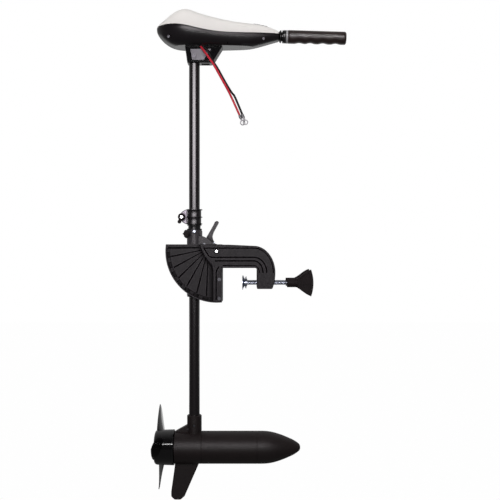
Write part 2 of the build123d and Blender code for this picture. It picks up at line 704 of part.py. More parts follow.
def section(crown, seam, base, width, wall):
    """Closed symmetric head section as (y, z) points, moved in by wall."""
    crown, base, width = crown - wall, base + wall, width - wall
    upper, lower = crown - seam, seam - base
    half = [
        (0.0, crown),
        (0.42 * width, crown - 0.07 * upper),
        (0.74 * width, crown - 0.30 * upper),
        (0.94 * width, crown - 0.72 * upper),
        (width, seam - 0.05 * lower),
        (0.93 * width, seam - 0.42 * lower),
        (0.74 * width, seam - 0.78 * lower),
        (0.42 * width, base + 0.03 * lower),
        (0.0, base),
    ]
    return half + [(-y, z) for y, z in reversed(half[1:-1])]


def head_body(stations, wall):
    """Solid lofted through the stations, moved in by wall and cut flat underneath."""
    with BuildPart() as piece:
        for x, crown, seam, base, width in stations:
            with BuildSketch(Plane.YZ.offset(x)):
                with BuildLine():
                    Spline(section(crown, seam, base, width, wall), periodic=True)
                make_face()
        loft()
        block(Plane.XY.offset(HEAD_BASE + wall), 500, 300, -60, mode=CUT)
    return piece.part


def inner_stations():
    """Stations of the cavity, drawn in at both ends."""
    inner = list(STATIONS[1:-1])
    inner[0] = (inner[0][0] + 3.4, *inner[0][1:])
    inner[-1] = (inner[-1][0] - 1.5, *inner[-1][1:])
    return inner


HEAD_OUTER = head_body(STATIONS, 0)
HEAD_INNER = head_body(inner_stations(), HEAD_WALL)


def cut_at_seam(limit_z):
    """Cut away what lies between the seam and limit_z."""
    with BuildSketch(HEAD_ACROSS) as sketch:
        with BuildLine():
            seam = Spline(SEAM)
            Polyline(seam @ 1, (160, limit_z), (-190, limit_z), seam @ 0)
        make_face()
    extrude(sketch.sketch, amount=HEAD_SPAN, mode=CUT)


def cut_tiller_bore():
    disc(TILLER.offset(-60), SOCKET_R, 60, mode=CUT)


def indicator_window(z, mode):
    with BuildSketch(Plane.XY.offset(z)) as sketch:
        with Locations((102, 0)):
            RectangleRounded(38, 20, 4)
    extrude(sketch.sketch, amount=80, mode=mode)


def head_top_cover():
    with BuildPart() as piece:
        add(HEAD_OUTER)
        add(HEAD_INNER, mode=CUT)
        cut_at_seam(560)
        indicator_window(600, CUT)
        cut_tiller_bore()
    return piece.part


def scale_plate():
    """Battery indicator, a window that stands 0.9 mm proud of the sloping top."""
    with BuildPart() as piece:
        add(HEAD_OUTER.moved(Location((0, 0, 0.9))))
        add(HEAD_INNER, mode=CUT)
        indicator_window(630, Mode.INTERSECT)
    return piece.part


def head_lower_shell():
    with BuildPart() as piece:
        add(HEAD_OUTER)
        add(HEAD_INNER, mode=CUT)
        cut_at_seam(740)
        outline(HEAD_ACROSS, HATCH, HEAD_SPAN, mode=CUT)
        # opening for the tiller guide in the nose
        disc(Plane.YZ.offset(130), 13.0, 40, (0, TILLER_Z + 0.6), mode=CUT)
        # screw pockets and snap slots
        disc(HEAD_ACROSS, HEAD_SCREW_R, HEAD_SPAN, *HEAD_SCREWS, mode=CUT)
        block(HEAD_ACROSS, 1.6, 7, HEAD_SPAN, (14.5, 593.4), mode=CUT)
        # cable exit and wire passage
        slot(Plane.XY.offset(580), LEAD_GAP, 8.4, 14, GROMMET, mode=CUT)
        shaft_disc(580, SHAFT_BORE, 14, mode=CUT)
        cut_tiller_bore()
    return piece.part


def head_hatch():
    with BuildPart() as piece:
        add(HEAD_OUTER)
        add(HEAD_INNER, mode=CUT)
        outline(HEAD_ACROSS, HATCH, HEAD_SPAN, mode=Mode.INTERSECT)
        # shallow cross groove
        block(HEAD_ACROSS, 2.0, 1.6, HEAD_SPAN, (97, 592.4), mode=CUT)
        cut_tiller_bore()
    return piece.part


def head_screws():
    with BuildPart() as piece:
        # cross-slotted screws of the shells
        for centre, outer_y in zip(HEAD_SCREWS, (41.5, 25.5)):
            for side in (-1, 1):
                disc(Plane.XZ.offset(side * outer_y - 3.0), HEAD_SCREW_R, 6.0, centre)
                recess = Plane.XZ.offset(side * (outer_y + 3.0) - 1.2)
                block(recess, 4.4, 1.0, 2.4, centre, mode=CUT)
                block(recess, 1.0, 4.4, 2.4, centre, mode=CUT)
        # cross bolt of the head mount, its head and its nut
        disc(Plane.XZ.offset(-18.5), CROSS_BOLT_R, 33.5, HEAD_CROSS_BOLT)
        hexagon(Plane.XZ.offset(15), 4.8, 3.4, HEAD_CROSS_BOLT)
        hexagon(Plane.XZ.offset(-18.5), 4.6, 3.4, HEAD_CROSS_BOLT, bore=CROSS_BOLT_R)
    return piece.part


# ---------------------------------------------------------------- tiller
# half profiles: distance along the tiller, radius
SOCKET_FLANGE = [
    (-24.6, 0), (-24.6, 12.2), (-20.8, 16.6), (-18.0, 16.6), (-18.0, 12.0), (-15.6, 12.0),
    (-15.6, 0),
]
GRIP_PROFILE = [
    (0, 0), (0, 17.2), (1.2, 17.8), (90, 17.6), (148, 17.2), (153, 16.6), (GRIP_LENGTH, 13.5),
    (GRIP_LENGTH, 0),
]
SCALLOPS = [(31, 2.2), (60, 2.6), (94, 2.6), (128, 2.4)]   # distance along the grip, depth
SCALLOP_R = 40
COLLAR_START, SCALE_START = -15.2, -5.3   # along the tiller


def tiller_socket():
    with BuildPart() as piece:
        disc(TILLER.offset(-72), SOCKET_R, 48)
        turned(TILLER_SIDE, SOCKET_FLANGE, TILLER_AXIS)
        disc(TILLER.offset(-80), TILLER_R + RUN, 80, mode=CUT)
    return piece.part


def tiller_tube():
    with BuildPart() as piece:
        disc(TILLER.offset(-182), TILLER_R, 182 + 144, bore=TILLER_BORE)
    return piece.part


def tiller_collar():
    with BuildPart() as piece:
        disc(TILLER.offset(COLLAR_START), 17.2, SCALE_START - COLLAR_START, bore=TILLER_R)
        # groove round the outside
        disc(TILLER.offset(-14.0), 20, 1.4, bore=16.2, mode=CUT)
    return piece.part


def speed_scale():
    with BuildPart() as piece:
        disc(TILLER.offset(SCALE_START), 17.5, 5.0, bore=TILLER_R)
    return piece.part


def grip_core():
    """Closed-ended cup over the tube, with a square-bored stem inside."""
    with BuildPart() as piece:
        disc(TILLER, GRIP_CORE_R, 152)
        disc(TILLER, TILLER_R + RUN, 145, mode=CUT)
        disc(TILLER.offset(6), 6.5, 140)
        block(TILLER.offset(5), 6.2, 6.2, 140, mode=CUT)
    return piece.part


def grip_sleeve():
    with BuildPart() as piece:
        turned(TILLER_SIDE, GRIP_PROFILE, TILLER_AXIS)
        disc(TILLER.offset(-1), GRIP_CORE_R, 153, mode=CUT)
        # finger scallops along the underside
        for along, depth in SCALLOPS:
            centre = (along, -(17.7 - depth + SCALLOP_R))
            disc(TILLER_SIDE.offset(-25), SCALLOP_R, 50, centre, mode=CUT)
        # grooves along the length
        with BuildSketch(TILLER.offset(8)):
            with PolarLocations(18.2, 18, start_angle=100, angular_range=160):
                Circle(1.0)
        extrude(amount=134, mode=CUT)
    return piece.part


def speed_rod():
    """Square rod with a round end in the switch."""
    with BuildPart() as piece:
        block(TILLER.offset(-196), 6, 6, 196 + 142)
        disc(TILLER.offset(-216), SWITCH_ROD_R, 20)
    return piece.part


def switch_housing():
    with BuildPart() as piece:
        with BuildSketch(TILLER.offset(-228)):
            RectangleRounded(40, 34, 3)
        extrude(amount=28)
        disc(TILLER.offset(-218), SWITCH_ROD_R + RUN, 30, mode=CUT)
        # terminal tabs on the -X face
        tabs = [(y, -6) for y in (-12, -4, 4, 12)]
        block(TILLER.offset(-236), 1.2, 6.3, 9, *tabs)
    return piece.part


# ---------------------------------------------------------------- battery leads
# points of the red lead: x, y, z
RED_PATH = [
    (LEAD_X, LEAD_Y, 586.0), (-50.5, -28.6, 577.5), (-33.5, -38.5, 552.5),
    (-19.5, -44.5, 530.0), (-5.0, -50.0, 503.5), (21.5, -62.0, 453.0), (47.0, -72.0, 396.0),
]
# shift of each point for the black lead
BLACK_SHIFT = [
    (LEAD_GAP, 0.0, 0.0), (6.9, 1.6, 2.2), (5.0, 4.2, 1.6), (4.2, 4.7, 1.6), (4.3, 4.4, 1.8),
    (5.9, 2.0, 2.6), (7.4, -7.2, 0.0),
]
LEAD_TOP = 604
END_SLOPE_X, END_SLOPE_Z = 0.38, -0.925   # direction at the free end of each lead


def lead_points(index):
    """Path points of lead 0 (red) or 1 (black)."""
    return [
        tuple(value + index * change for value, change in zip(point, shift))
        for point, shift in zip(RED_PATH, BLACK_SHIFT)
    ]


def cable_grommet():
    with BuildPart() as piece:
        slot(Plane.XY.offset(HEAD_BASE - 1.8), LEAD_GAP, 10.6, 1.8, GROMMET)
        slot(Plane.XY.offset(HEAD_BASE), 5.5, 8.4, 4.5, GROMMET)
        holes = [(LEAD_X, LEAD_Y), (LEAD_X + LEAD_GAP, LEAD_Y)]
        disc(Plane.XY.offset(580), 2.9, 20, *holes, mode=CUT)
    return piece.part


def lead(index):
    points = lead_points(index)
    x, y, z = points[0]
    with BuildPart() as piece:
        with BuildLine() as path:
            Line((x, y, LEAD_TOP), (x, y, z))
            Spline(points, tangents=[(0, 0, -1), (END_SLOPE_X, 0.0, END_SLOPE_Z)])
        with BuildSketch(Plane(origin=(x, y, LEAD_TOP), x_dir=(1, 0, 0), z_dir=(0, 0, -1))):
            Circle(LEAD_R)
        sweep(path=path.line)
    return piece.part


def ring_terminals():
    length = math.hypot(END_SLOPE_X, END_SLOPE_Z)
    unit_x, unit_z = END_SLOPE_X / length, END_SLOPE_Z / length
    angle = math.degrees(math.atan2(unit_z, unit_x))
    with BuildPart() as piece:
        for index in range(2):
            x, y, z = lead_points(index)[-1]
            ring = (x + unit_x * 21, z + unit_z * 21)
            # crimp sleeve
            disc(Plane(origin=(x, y, z), x_dir=(0, 1, 0), z_dir=(unit_x, 0, unit_z)), 3.7, 9)
            # flat tongue and ring
            with BuildSketch(Plane.XZ.offset(-y - 0.8)):
                with Locations(Location((x + unit_x * 13, z + unit_z * 13, 0), (0, 0, angle))):
                    Rectangle(12, 5.4)
                with Locations(ring):
                    Circle(7.0)
            extrude(amount=1.6)
            disc(Plane.XZ.offset(-y - 5), 4.2, 10, ring, mode=CUT)
    return piece.part


def motor_wires():
    with BuildPart() as piece:
        disc(Plane.XY.offset(-456), 2.1, 456 + 603, (SHAFT_X - 7, 0), (SHAFT_X + 7, 0))
    return piece.part


# ---------------------------------------------------------------- motor pod
POD_SIDE = Plane(origin=(0, 0, POD_Z), x_dir=(1, 0, 0), z_dir=(0, -1, 0))
POD_AXIS = Axis((0, 0, POD_Z), (1, 0, 0))
RING_WIDTH = 2
RING_STARTS = (REAR_SEAM + 4, NOSE_SEAM - 6)   # seal ring grooves
SKEG_HALF = 3.5
# side outlines: x, z
GUSSET = [(-75, -420), (-93.5, -420.5), (-125, -438.0), (-125, -460), (-75, -460)]
SKEG = [
    (-126.5, -500), (-127.2, -530), (-137.0, -600), (-137.0, -613), (-128, -621.6),
    (-112, -621.6), (-101, -612), (-62.5, -524), (-58.5, -500),
]
# half profiles: x, radius
NOSE_PROFILE = [
    (93.5, 43.0), (108.8, 42.9), (122.2, 42.0), (135.6, 39.7), (149, 36.0), (162.4, 31.5),
    (175.8, 26.0), (189.2, 20.0), (202.6, 11.5), (NOSE_X, 0),
]
NOSE_CAVITY = [
    (108, 0), (108, 37), (122, 36.5), (149, 30.5), (175, 20.5), (192, 11), (196, 0),
]


def cut_ring_groove(start):
    pod_disc(start, 41, RING_WIDTH, bore=RING_BORE, mode=CUT)


def cut_rear_bores():
    """Seats along the motor axis, then the bores and screw holes of the shaft collar."""
    # bearing seat, shaft hole, seal seat, bolt holes
    pod_disc(-118, BEARING_R, 8, mode=CUT)
    pod_disc(-140, 8, 30, mode=CUT)
    pod_disc(-140, SEAL_R, 19, mode=CUT)
    disc(Plane.YZ.offset(-122), THROUGH_BOLT_R, 20, *THROUGH_BOLTS, mode=CUT)
    # shaft bore, wire passage, pinch screw and cross bolt holes
    shaft_disc(SHAFT_BOTTOM, SHAFT_R, 80, mode=CUT)
    shaft_disc(-455, SHAFT_BORE, 20, mode=CUT)
    disc(Plane.XZ.offset(-30), PINCH_R, 60, PINCH_SCREW, mode=CUT)
    disc(Plane.XZ.offset(-30), CROSS_BOLT_R, 60, POD_CROSS_BOLT, mode=CUT)
    # their counterbores
    for side in (-1, 1):
        disc(Plane.XZ.offset(side * 14 - 6), 3.4, 12, PINCH_SCREW, mode=CUT)
        disc(Plane.XZ.offset(side * 23 - 6), 3.8, 12, POD_CROSS_BOLT, mode=CUT)


def rear_housing():
    with BuildPart() as piece:
        pod_disc(REAR_X, POD_R, REAR_SEAM - REAR_X)
        chamfer(piece.edges().filter_by(GeomType.CIRCLE), 0.7)
        # shaft collar with a bevelled top edge
        shaft_disc(POD_Z, 19.5, -394.6 - POD_Z)
        chamfer(piece.faces().sort_by(Axis.Z)[-1].edges(), 1.5)
        # gusset on the -X side of the collar
        outline(Plane.XZ.offset(-9), GUSSET, 18)
        with BuildSketch(Plane.XZ.offset(-SKEG_HALF)) as skeg:
            with BuildLine():
                Polyline(*SKEG, SKEG[0])
            make_face()
            fillet([v for v in skeg.vertices() if v.Y < -595], 7)
        extrude(amount=2 * SKEG_HALF)
        skeg_edges = piece.edges().filter_by(
            lambda e: abs(abs(e.center().Y) - SKEG_HALF) < 0.01 and e.center().Z < -540
        )
        chamfer(skeg_edges, 1.8)
        # spigot for the motor tube, cavity
        pod_disc(REAR_SEAM, POD_BORE, 10)
        pod_disc(-112, END_BORE, 80, mode=CUT)
        cut_ring_groove(RING_STARTS[0])
        cut_rear_bores()
    return piece.part


def pod_bolts():
    with BuildPart() as piece:
        # pinch screw
        disc(Plane.XZ.offset(-8), PINCH_R, 16, PINCH_SCREW)
        hexagon(Plane.XZ.offset(8), 3.2, 2, PINCH_SCREW)
        # cross bolt
        disc(Plane.XZ.offset(-17), CROSS_BOLT_R, 34, POD_CROSS_BOLT)
        hexagon(Plane.XZ.offset(17), 3.6, 1.8, POD_CROSS_BOLT)
        # two long bolts through the motor
        disc(Plane.YZ.offset(-121), THROUGH_BOLT_R, 121 + 100, *THROUGH_BOLTS)
    return piece.part


def motor_tube():
    length = NOSE_SEAM - REAR_SEAM
    with BuildPart() as piece:
        pod_disc(REAR_SEAM, POD_R, length)
        chamfer(piece.edges().filter_by(GeomType.CIRCLE), 0.6)
        pod_disc(REAR_SEAM - 1, POD_BORE, length + 2, mode=CUT)
    return piece.part


def nose_cone():
    with BuildPart() as piece:
        with BuildSketch(POD_SIDE):
            with BuildLine():
                Polyline((NOSE_SEAM, 0), (NOSE_SEAM, 42.4), NOSE_PROFILE[0])
                Spline(NOSE_PROFILE, tangents=[(1, 0), (0, -1)])
                Line((NOSE_X, 0), (NOSE_SEAM, 0))
            make_face()
        revolve(axis=POD_AXIS)
        # spigot for the motor tube
        pod_disc(NOSE_SEAM - 10, POD_BORE, 10)
        pod_disc(NOSE_SEAM - 12, END_BORE, 12, mode=CUT)
        cut_ring_groove(RING_STARTS[1])
        # bearing seat and bolt holes in the inner wall
        pod_disc(NOSE_SEAM - 5, BEARING_R, 5 + 8.2, mode=CUT)
        disc(Plane.YZ.offset(NOSE_SEAM - 5), THROUGH_BOLT_R, 14, *THROUGH_BOLTS, mode=CUT)
        # hollow tip and the hole into it
        turned(POD_SIDE, NOSE_CAVITY, POD_AXIS, mode=CUT)
        pod_disc(NOSE_SEAM + 5, 8, 14, mode=CUT)
    return piece.part


def motor_seals():
    """Two seal rings at the seams and the shaft seal."""
    with BuildPart() as piece:
        for start in RING_STARTS:
            pod_disc(start, POD_BORE, RING_WIDTH, bore=RING_BORE)
        pod_disc(-126.5, SEAL_R, 5.5, bore=DRIVE_R + RUN)
    return piece.part


def magnets():
    """Ring split by a wedge-shaped gap on each side."""
    with BuildPart() as piece:
        with BuildSketch(Plane.YZ.offset(-36)):
            with Locations(POD_CENTRE):
                Circle(POD_BORE)
                Circle(32.5, mode=CUT)
            for side in (-1, 1):
                with BuildLine():
                    Polyline(
                        POD_CENTRE, (side * 60, POD_Z + 38), (side * 60, POD_Z - 38), POD_CENTRE
                    )
                make_face(mode=CUT)
        extrude(amount=108)
    return piece.part


BRUSH_PLATE_X, BRUSH_PLATE_T = 76.5, 2.5
BRUSH_X = BRUSH_PLATE_X + BRUSH_PLATE_T


def brush_plate():
    with BuildPart() as piece:
        pod_disc(BRUSH_PLATE_X, POD_BORE, BRUSH_PLATE_T, bore=17.5)
        plate = Plane.YZ.offset(BRUSH_PLATE_X)
        disc(plate, THROUGH_BOLT_R, BRUSH_PLATE_T, *THROUGH_BOLTS, mode=CUT)
        # walls on both sides of each brush
        walls = [(y, POD_Z + z) for z in (23, -23) for y in (-4.75, 4.75)]
        block(Plane.YZ.offset(BRUSH_X), 1.5, 10, 7, *walls)
    return piece.part


def brushes():
    with BuildPart() as piece:
        block(Plane.YZ.offset(BRUSH_X), 8, 12, 6, (0, POD_Z + 20.05), (0, POD_Z - 20.05))
        pod_disc(BRUSH_X, COMMUTATOR_R + RUN, 6, mode=CUT)
    return piece.part


def motor_bearings():
    with BuildPart() as piece:
        for x in (-118, 94.5):
            pod_disc(x, BEARING_R, 6, bore=DRIVE_R + RUN)
    return piece.part


# ---------------------------------------------------------------- rotor
CORE_X, CORE_LENGTH = -28, 74
SLOT_RADIUS, SLOT_DEPTH, SLOT_WIDTH = 21.5, 9, 5   # winding slots


def armature_shaft():
    with BuildPart() as piece:
        pod_disc(-179.8, DRIVE_R, 179.8 + 101)
        chamfer(piece.edges().filter_by(GeomType.CIRCLE), 0.8)
        disc(Plane.XY.offset(POD_Z - 20), DRIVE_PIN_R, 40, DRIVE_PIN, mode=CUT)
    return piece.part


def armature_core():
    with BuildPart() as piece:
        with BuildSketch(Plane.YZ.offset(CORE_X)):
            with Locations(POD_CENTRE):
                Circle(29)
                Circle(DRIVE_R, mode=CUT)
                with PolarLocations(SLOT_RADIUS, ARMATURE_SLOTS):
                    Rectangle(SLOT_DEPTH, SLOT_WIDTH, mode=CUT)
                # narrow mouths of the slots
                with PolarLocations(27.5, ARMATURE_SLOTS):
                    Rectangle(5, 2, mode=CUT)
        extrude(amount=CORE_LENGTH)
    return piece.part


def windings():
    """Bars in the slots, joined by a rounded ring at each end."""
    with BuildPart() as piece:
        with BuildSketch(Plane.YZ.offset(CORE_X)):
            with Locations(POD_CENTRE):
                with PolarLocations(SLOT_RADIUS, ARMATURE_SLOTS):
                    Rectangle(SLOT_DEPTH, SLOT_WIDTH)
        extrude(amount=CORE_LENGTH)
        for x, end in ((CORE_X - 10, 0), (CORE_X + CORE_LENGTH, -1)):
            pod_disc(x, 27, 10, bore=12)
            end_face = piece.faces().filter_by(Axis.X).sort_by(Axis.X)[end]
            fillet(end_face.edges().filter_by(GeomType.CIRCLE), 3)
    return piece.part


def commutator():
    with BuildPart() as piece:
        with BuildSketch(Plane.YZ.offset(60)):
            with Locations(POD_CENTRE):
                Circle(COMMUTATOR_R)
                Circle(DRIVE_R, mode=CUT)
                with PolarLocations(13.5, ARMATURE_SLOTS):
                    Rectangle(2, 0.8, mode=CUT)
        extrude(amount=27)
    return piece.part


# ---------------------------------------------------------------- propeller
BLADE_ANGLES = (82.0, 202.0, 322.0)
# radius, chord, thickness
BLADE_SECTIONS = [
    (44.2, 56, 7.0), (62, 58, 5.6), (86, 54, 4.2), (108, 43, 3.0), (123, 27, 2.2), (129.3, 10, 1.4),
]


def blade_plane(angle, radius, chord):
    """Plane of a blade section on the helicoid, x along the chord and z outwards."""
    turn = math.radians(angle)
    forward = Vector(1, 0, 0)
    outward = Vector(0, -math.sin(turn), math.cos(turn))
    around = Vector(-1, 0, 0).cross(outward)
    pitch = math.atan(PROP_PITCH / (2 * math.pi) / radius)
    chord_dir = around * math.cos(pitch) + forward * math.sin(pitch)
    middle = (
        Vector(-176.0, 0, POD_Z)
        + outward * radius
        + forward * (chord / 2 * math.sin(pitch))
        + around * (0.10 * (radius - 44))
    )
    return Plane(origin=middle, x_dir=chord_dir, z_dir=outward)


def propeller():
    with BuildPart() as piece:
        # hub
        with BuildSketch(POD_SIDE):
            with BuildLine():
                Polyline((HUB_FRONT, 0), (HUB_FRONT, 46.6), (-129.2, 47.0), (-172, 45.6))
                Spline(
                    (-172, 45.6), (-178, 43.8), (HUB_REAR, 38.0),
                    tangents=[(-1, -0.03), (-0.1, -1)],
                )
                Polyline((HUB_REAR, 38.0), (HUB_REAR, 0), (HUB_FRONT, 0))
            make_face()
        revolve(axis=POD_AXIS)
        # blades, lofted through symmetric lens sections
        for angle in BLADE_ANGLES:
            for radius, chord, thickness in BLADE_SECTIONS:
                with BuildSketch(blade_plane(angle, radius, chord)):
                    with BuildLine():
                        for half in (thickness / 2, -thickness / 2):
                            ThreePointArc((-chord / 2, 0), (0, half), (chord / 2, 0))
                    make_face()
            loft()
        # cavity open to +X, round its boss and spokes
        with BuildSketch(Plane.YZ.offset(-168)):
            with Locations(POD_CENTRE):
                Circle(43)
                Circle(13, mode=CUT)
                for k in range(3):
                    with Locations(Location((0, 0, 0), (0, 0, 30 + 120 * k))):
                        with Locations((28, 0)):
                            Rectangle(34, 4.5, mode=CUT)
        extrude(amount=60, mode=CUT)
        pod_disc(-145, 43, 30, mode=CUT)
        # shaft bore, nut recess, drive pin hole
        pod_disc(-200, DRIVE_R, 80, mode=CUT)
        pod_disc(-190, 11.5, 17, mode=CUT)
        disc(Plane.XY.offset(POD_Z - 14), DRIVE_PIN_R, 28, DRIVE_PIN, mode=CUT)
    return piece.part


def drive_pin():
    with BuildPart() as piece:
        disc(Plane.XY.offset(POD_Z - 12), DRIVE_PIN_R, 24, DRIVE_PIN)
    return piece.part


def prop_nut():
    with BuildPart() as piece:
        hexagon(Plane.YZ.offset(-180), 9.5, 7, POD_CENTRE, bore=DRIVE_R)
    return piece.part


# ---------------------------------------------------------------- named nodes
# pieces whose node has the name of their function
PIECES = [
    bracket_near, transom_plate, pivot_bolt, bracket_bolts, bracket_nuts, clamp_nuts,
    yoke, upper_bushing, lower_bushing, lever_pin, tension_screw, tension_knob,
    release_lever, lock_bar, depth_collar, collar_screw, collar_knob,
    shaft_tube, head_mount, head_lower_shell, head_top_cover, head_hatch, scale_plate,
    head_screws, switch_housing, cable_grommet, ring_terminals, motor_wires,
    tiller_socket, tiller_tube, tiller_collar, speed_scale, grip_core, grip_sleeve, speed_rod,
    rear_housing, pod_bolts, motor_tube, nose_cone, motor_seals, magnets, brush_plate, brushes,
    motor_bearings, armature_shaft, armature_core, windings, commutator,
    propeller, prop_nut, drive_pin,
]
NODES = {piece.__name__: piece() for piece in PIECES}
NODES["bracket_far"] = bracket_far(NODES["bracket_near"])
for side_name, side in (("near", -1), ("far", 1)):
    NODES[f"clamp_pad_{side_name}"] = clamp_turning(side, PAD_PROFILE)
    NODES[f"clamp_screw_{side_name}"] = clamp_turning(side, SCREW_PROFILE)
    NODES[f"clamp_knob_{side_name}"] = clamp_knob(side)
NODES["lead_red"] = lead(0)
NODES["lead_black"] = lead(1)

os.makedirs("parts", exist_ok=True)
for node, shape in NODES.items():
    shape.label = node
    export_step(shape, f"parts/{node}.step")
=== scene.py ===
"""Electric outboard motor with transom clamp, tiller and three-blade propeller.

Metres, +Z up. The tiller points along +X and the propeller sits low on the -X side.
The camera stands on the -Y side, which is called near; +Y is far.
"""

import json
import math

import bmesh
import bpy
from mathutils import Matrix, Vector


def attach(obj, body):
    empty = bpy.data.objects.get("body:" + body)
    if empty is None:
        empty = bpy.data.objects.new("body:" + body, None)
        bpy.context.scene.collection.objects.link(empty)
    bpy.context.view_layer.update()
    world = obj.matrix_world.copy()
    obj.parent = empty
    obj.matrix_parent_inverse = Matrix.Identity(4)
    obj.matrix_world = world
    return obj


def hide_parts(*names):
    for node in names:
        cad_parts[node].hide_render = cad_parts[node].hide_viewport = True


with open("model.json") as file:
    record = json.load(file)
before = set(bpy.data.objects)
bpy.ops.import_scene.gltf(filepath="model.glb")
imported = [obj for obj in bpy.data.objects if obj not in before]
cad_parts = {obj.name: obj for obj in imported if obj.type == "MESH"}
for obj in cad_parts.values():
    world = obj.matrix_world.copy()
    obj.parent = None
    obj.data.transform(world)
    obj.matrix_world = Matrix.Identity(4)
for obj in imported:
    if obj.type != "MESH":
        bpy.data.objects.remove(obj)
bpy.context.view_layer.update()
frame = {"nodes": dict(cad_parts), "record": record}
NODES = frame["nodes"]
SLOTS = {part["node"]: part["material_slot"] for part in frame["record"]["subparts"]}
TAU = 2 * math.pi
X_AXIS = Vector((1, 0, 0))
Z_AXIS = Vector((0, 0, 1))
POD_Z = -0.4814  # height of the propeller axis


# ------------------------------------------------------------------ shader graphs
class Graph:
    """Emptied node tree of a material or world, with short ways to add nodes."""

    def __init__(self, owner):
        owner.use_nodes = True
        self.tree = owner.node_tree
        self.tree.nodes.clear()

    def feed(self, node, inputs):
        """Link each input that is given a socket and set each one given a value."""
        for key, value in inputs.items():
            if isinstance(value, bpy.types.NodeSocket):
                self.tree.links.new(value, node.inputs[key])
            else:
                node.inputs[key].default_value = value

    def add(self, kind, inputs=None, **settings):
        node = self.tree.nodes.new("ShaderNode" + kind)
        for key, value in settings.items():
            setattr(node, key, value)
        self.feed(node, inputs or {})
        return node

    def noise(self, vector, scale, detail=2.0):
        inputs = {"Vector": vector, "Scale": scale, "Detail": detail}
        return self.add("TexNoise", inputs).outputs["Fac"]

    def ramp(self, factor, low, high, start=0.0, end=1.0):
        node = self.add("ValToRGB", {"Fac": factor})
        for element, position, colour in zip(node.color_ramp.elements, (start, end), (low, high)):
            element.position = position
            element.color = colour
        return node.outputs["Color"]

    def remap(self, value, to, source=(0.0, 1.0)):
        return self.add("MapRange", {"Value": value, "From Min": source[0], "From Max": source[1],
                                     "To Min": to[0], "To Max": to[1]}).outputs[0]

    def mix(self, factor, first, second):
        inputs = {"Factor": factor, "A": first, "B": second}
        return self.add("Mix", inputs, data_type="RGBA").outputs["Result"]

    def occlusion(self, reach, inside=False):
        node = self.add("AmbientOcclusion", {"Distance": reach}, samples=8, inside=inside)
        return node.outputs["AO"]

    def math(self, operation, first, second):
        return self.add("Math", {0: first, 1: second}, operation=operation).outputs[0]

    def camera_switch(self, room, seen):
        """Show one shader to the camera and another to every other ray."""
        is_camera = self.add("LightPath").outputs["Is Camera Ray"]
        inputs = {0: is_camera, 1: room.outputs[0], 2: seen.outputs[0]}
        return self.add("MixShader", inputs).outputs[0]


# ------------------------------------------------------------------ materials
def tint(rgb, gain, lift=0.0):
    """Opaque colour scaled by gain and raised by lift."""
    return [min(1.0, c * gain + lift) for c in rgb] + [1]


def material(name, rgb, rough=0.5, metal=0.0, coat=0.0, coat_rough=0.1, spec=0.5, vary=0.10,
             rough_vary=0.06, grain=(900.0, 0.00010), peel=None, streak=None, blotch=35.0,
             dust=0.0, speckle=0.0, painted_recess_shade=None, edge=None):
    """Surface with drifting colour and roughness and a bumpy skin.

    vary, rough_vary: spread of colour (relative) and roughness; blotch: noise scale of both
    grain, peel: (noise scale, bump depth); streak: the same with a stretch per axis
    dust: share of pale dust on upward faces; speckle: share of pale specks
    grime: (reach, power) of painted shade darkening recesses; edge: (reach, strength) of a
    painted highlight on outside corners
    """
    surface = bpy.data.materials.new(name)
    graph = Graph(surface)
    bsdf = graph.add("BsdfPrincipled", {"Metallic": metal, "Coat Weight": coat,
                                        "Coat Roughness": coat_rough, "Specular IOR Level": spec})
    graph.add("OutputMaterial", {0: bsdf.outputs[0]})
    place = graph.add("TexCoord").outputs["Object"]
    colour = graph.ramp(graph.noise(place, scale=blotch, detail=4),
                        tint(rgb, 1 - vary), tint(rgb, 1 + vary), start=0.32, end=0.70)
    if speckle > 0:
        cells = graph.add("TexVoronoi", {"Vector": place, "Scale": 900}).outputs["Distance"]
        share = graph.remap(cells, source=(0.0, 0.35), to=(speckle, 0.0))
        colour = graph.mix(share, colour, tint(rgb, gain=1.6, lift=0.05))
    if dust > 0:
        normal = graph.add("NewGeometry").outputs["Normal"]
        upward = graph.add("SeparateXYZ", {0: normal}).outputs["Z"]
        share = graph.remap(upward, source=(0.4, 1.0), to=(0.0, dust))
        colour = graph.mix(share, colour, (0.25, 0.24, 0.23, 1))
    # painted highlight: outside corners, found by inward ambient occlusion, are lightened toward
    # a brighter tint
    if edge:
        reach, strength = edge
        openness = graph.occlusion(reach, inside=True)
        share = graph.remap(openness, source=(0.92, 0.45), to=(0.0, strength))
        colour = graph.mix(share, colour, tint(rgb, gain=3.0, lift=0.012))
    if painted_recess_shade:
        # painted shade: grooves and inside corners lose colour and shine through an ambient
        # occlusion mask
        reach, power = painted_recess_shade
        unshaded_share = graph.math("POWER", graph.occlusion(reach), power)
        colour = graph.mix(unshaded_share, tint(rgb, gain=0.12), colour)
        graph.feed(bsdf, {"Specular IOR Level": graph.math("MULTIPLY", unshaded_share, spec)})
    rough_range = (max(0.02, rough - rough_vary), min(1.0, rough + rough_vary))
    drift = graph.noise(place, scale=blotch * 4, detail=6)
    graph.feed(bsdf, {"Base Color": colour, "Roughness": graph.remap(drift, to=rough_range)})
    bump = {}
    for layer in filter(None, (grain, peel, streak)):
        scale, depth, *stretch = layer
        vector = place
        if stretch:
            mapping = {"Vector": place, "Scale": stretch[0]}
            vector = graph.add("Mapping", mapping).outputs[0]
        height = graph.noise(vector, scale=scale, detail=3)
        node = graph.add("Bump", {"Height": height, "Strength": 1.0, "Distance": depth, **bump})
        bump = {"Normal": node.outputs["Normal"]}
    graph.feed(bsdf, bump)
    return surface
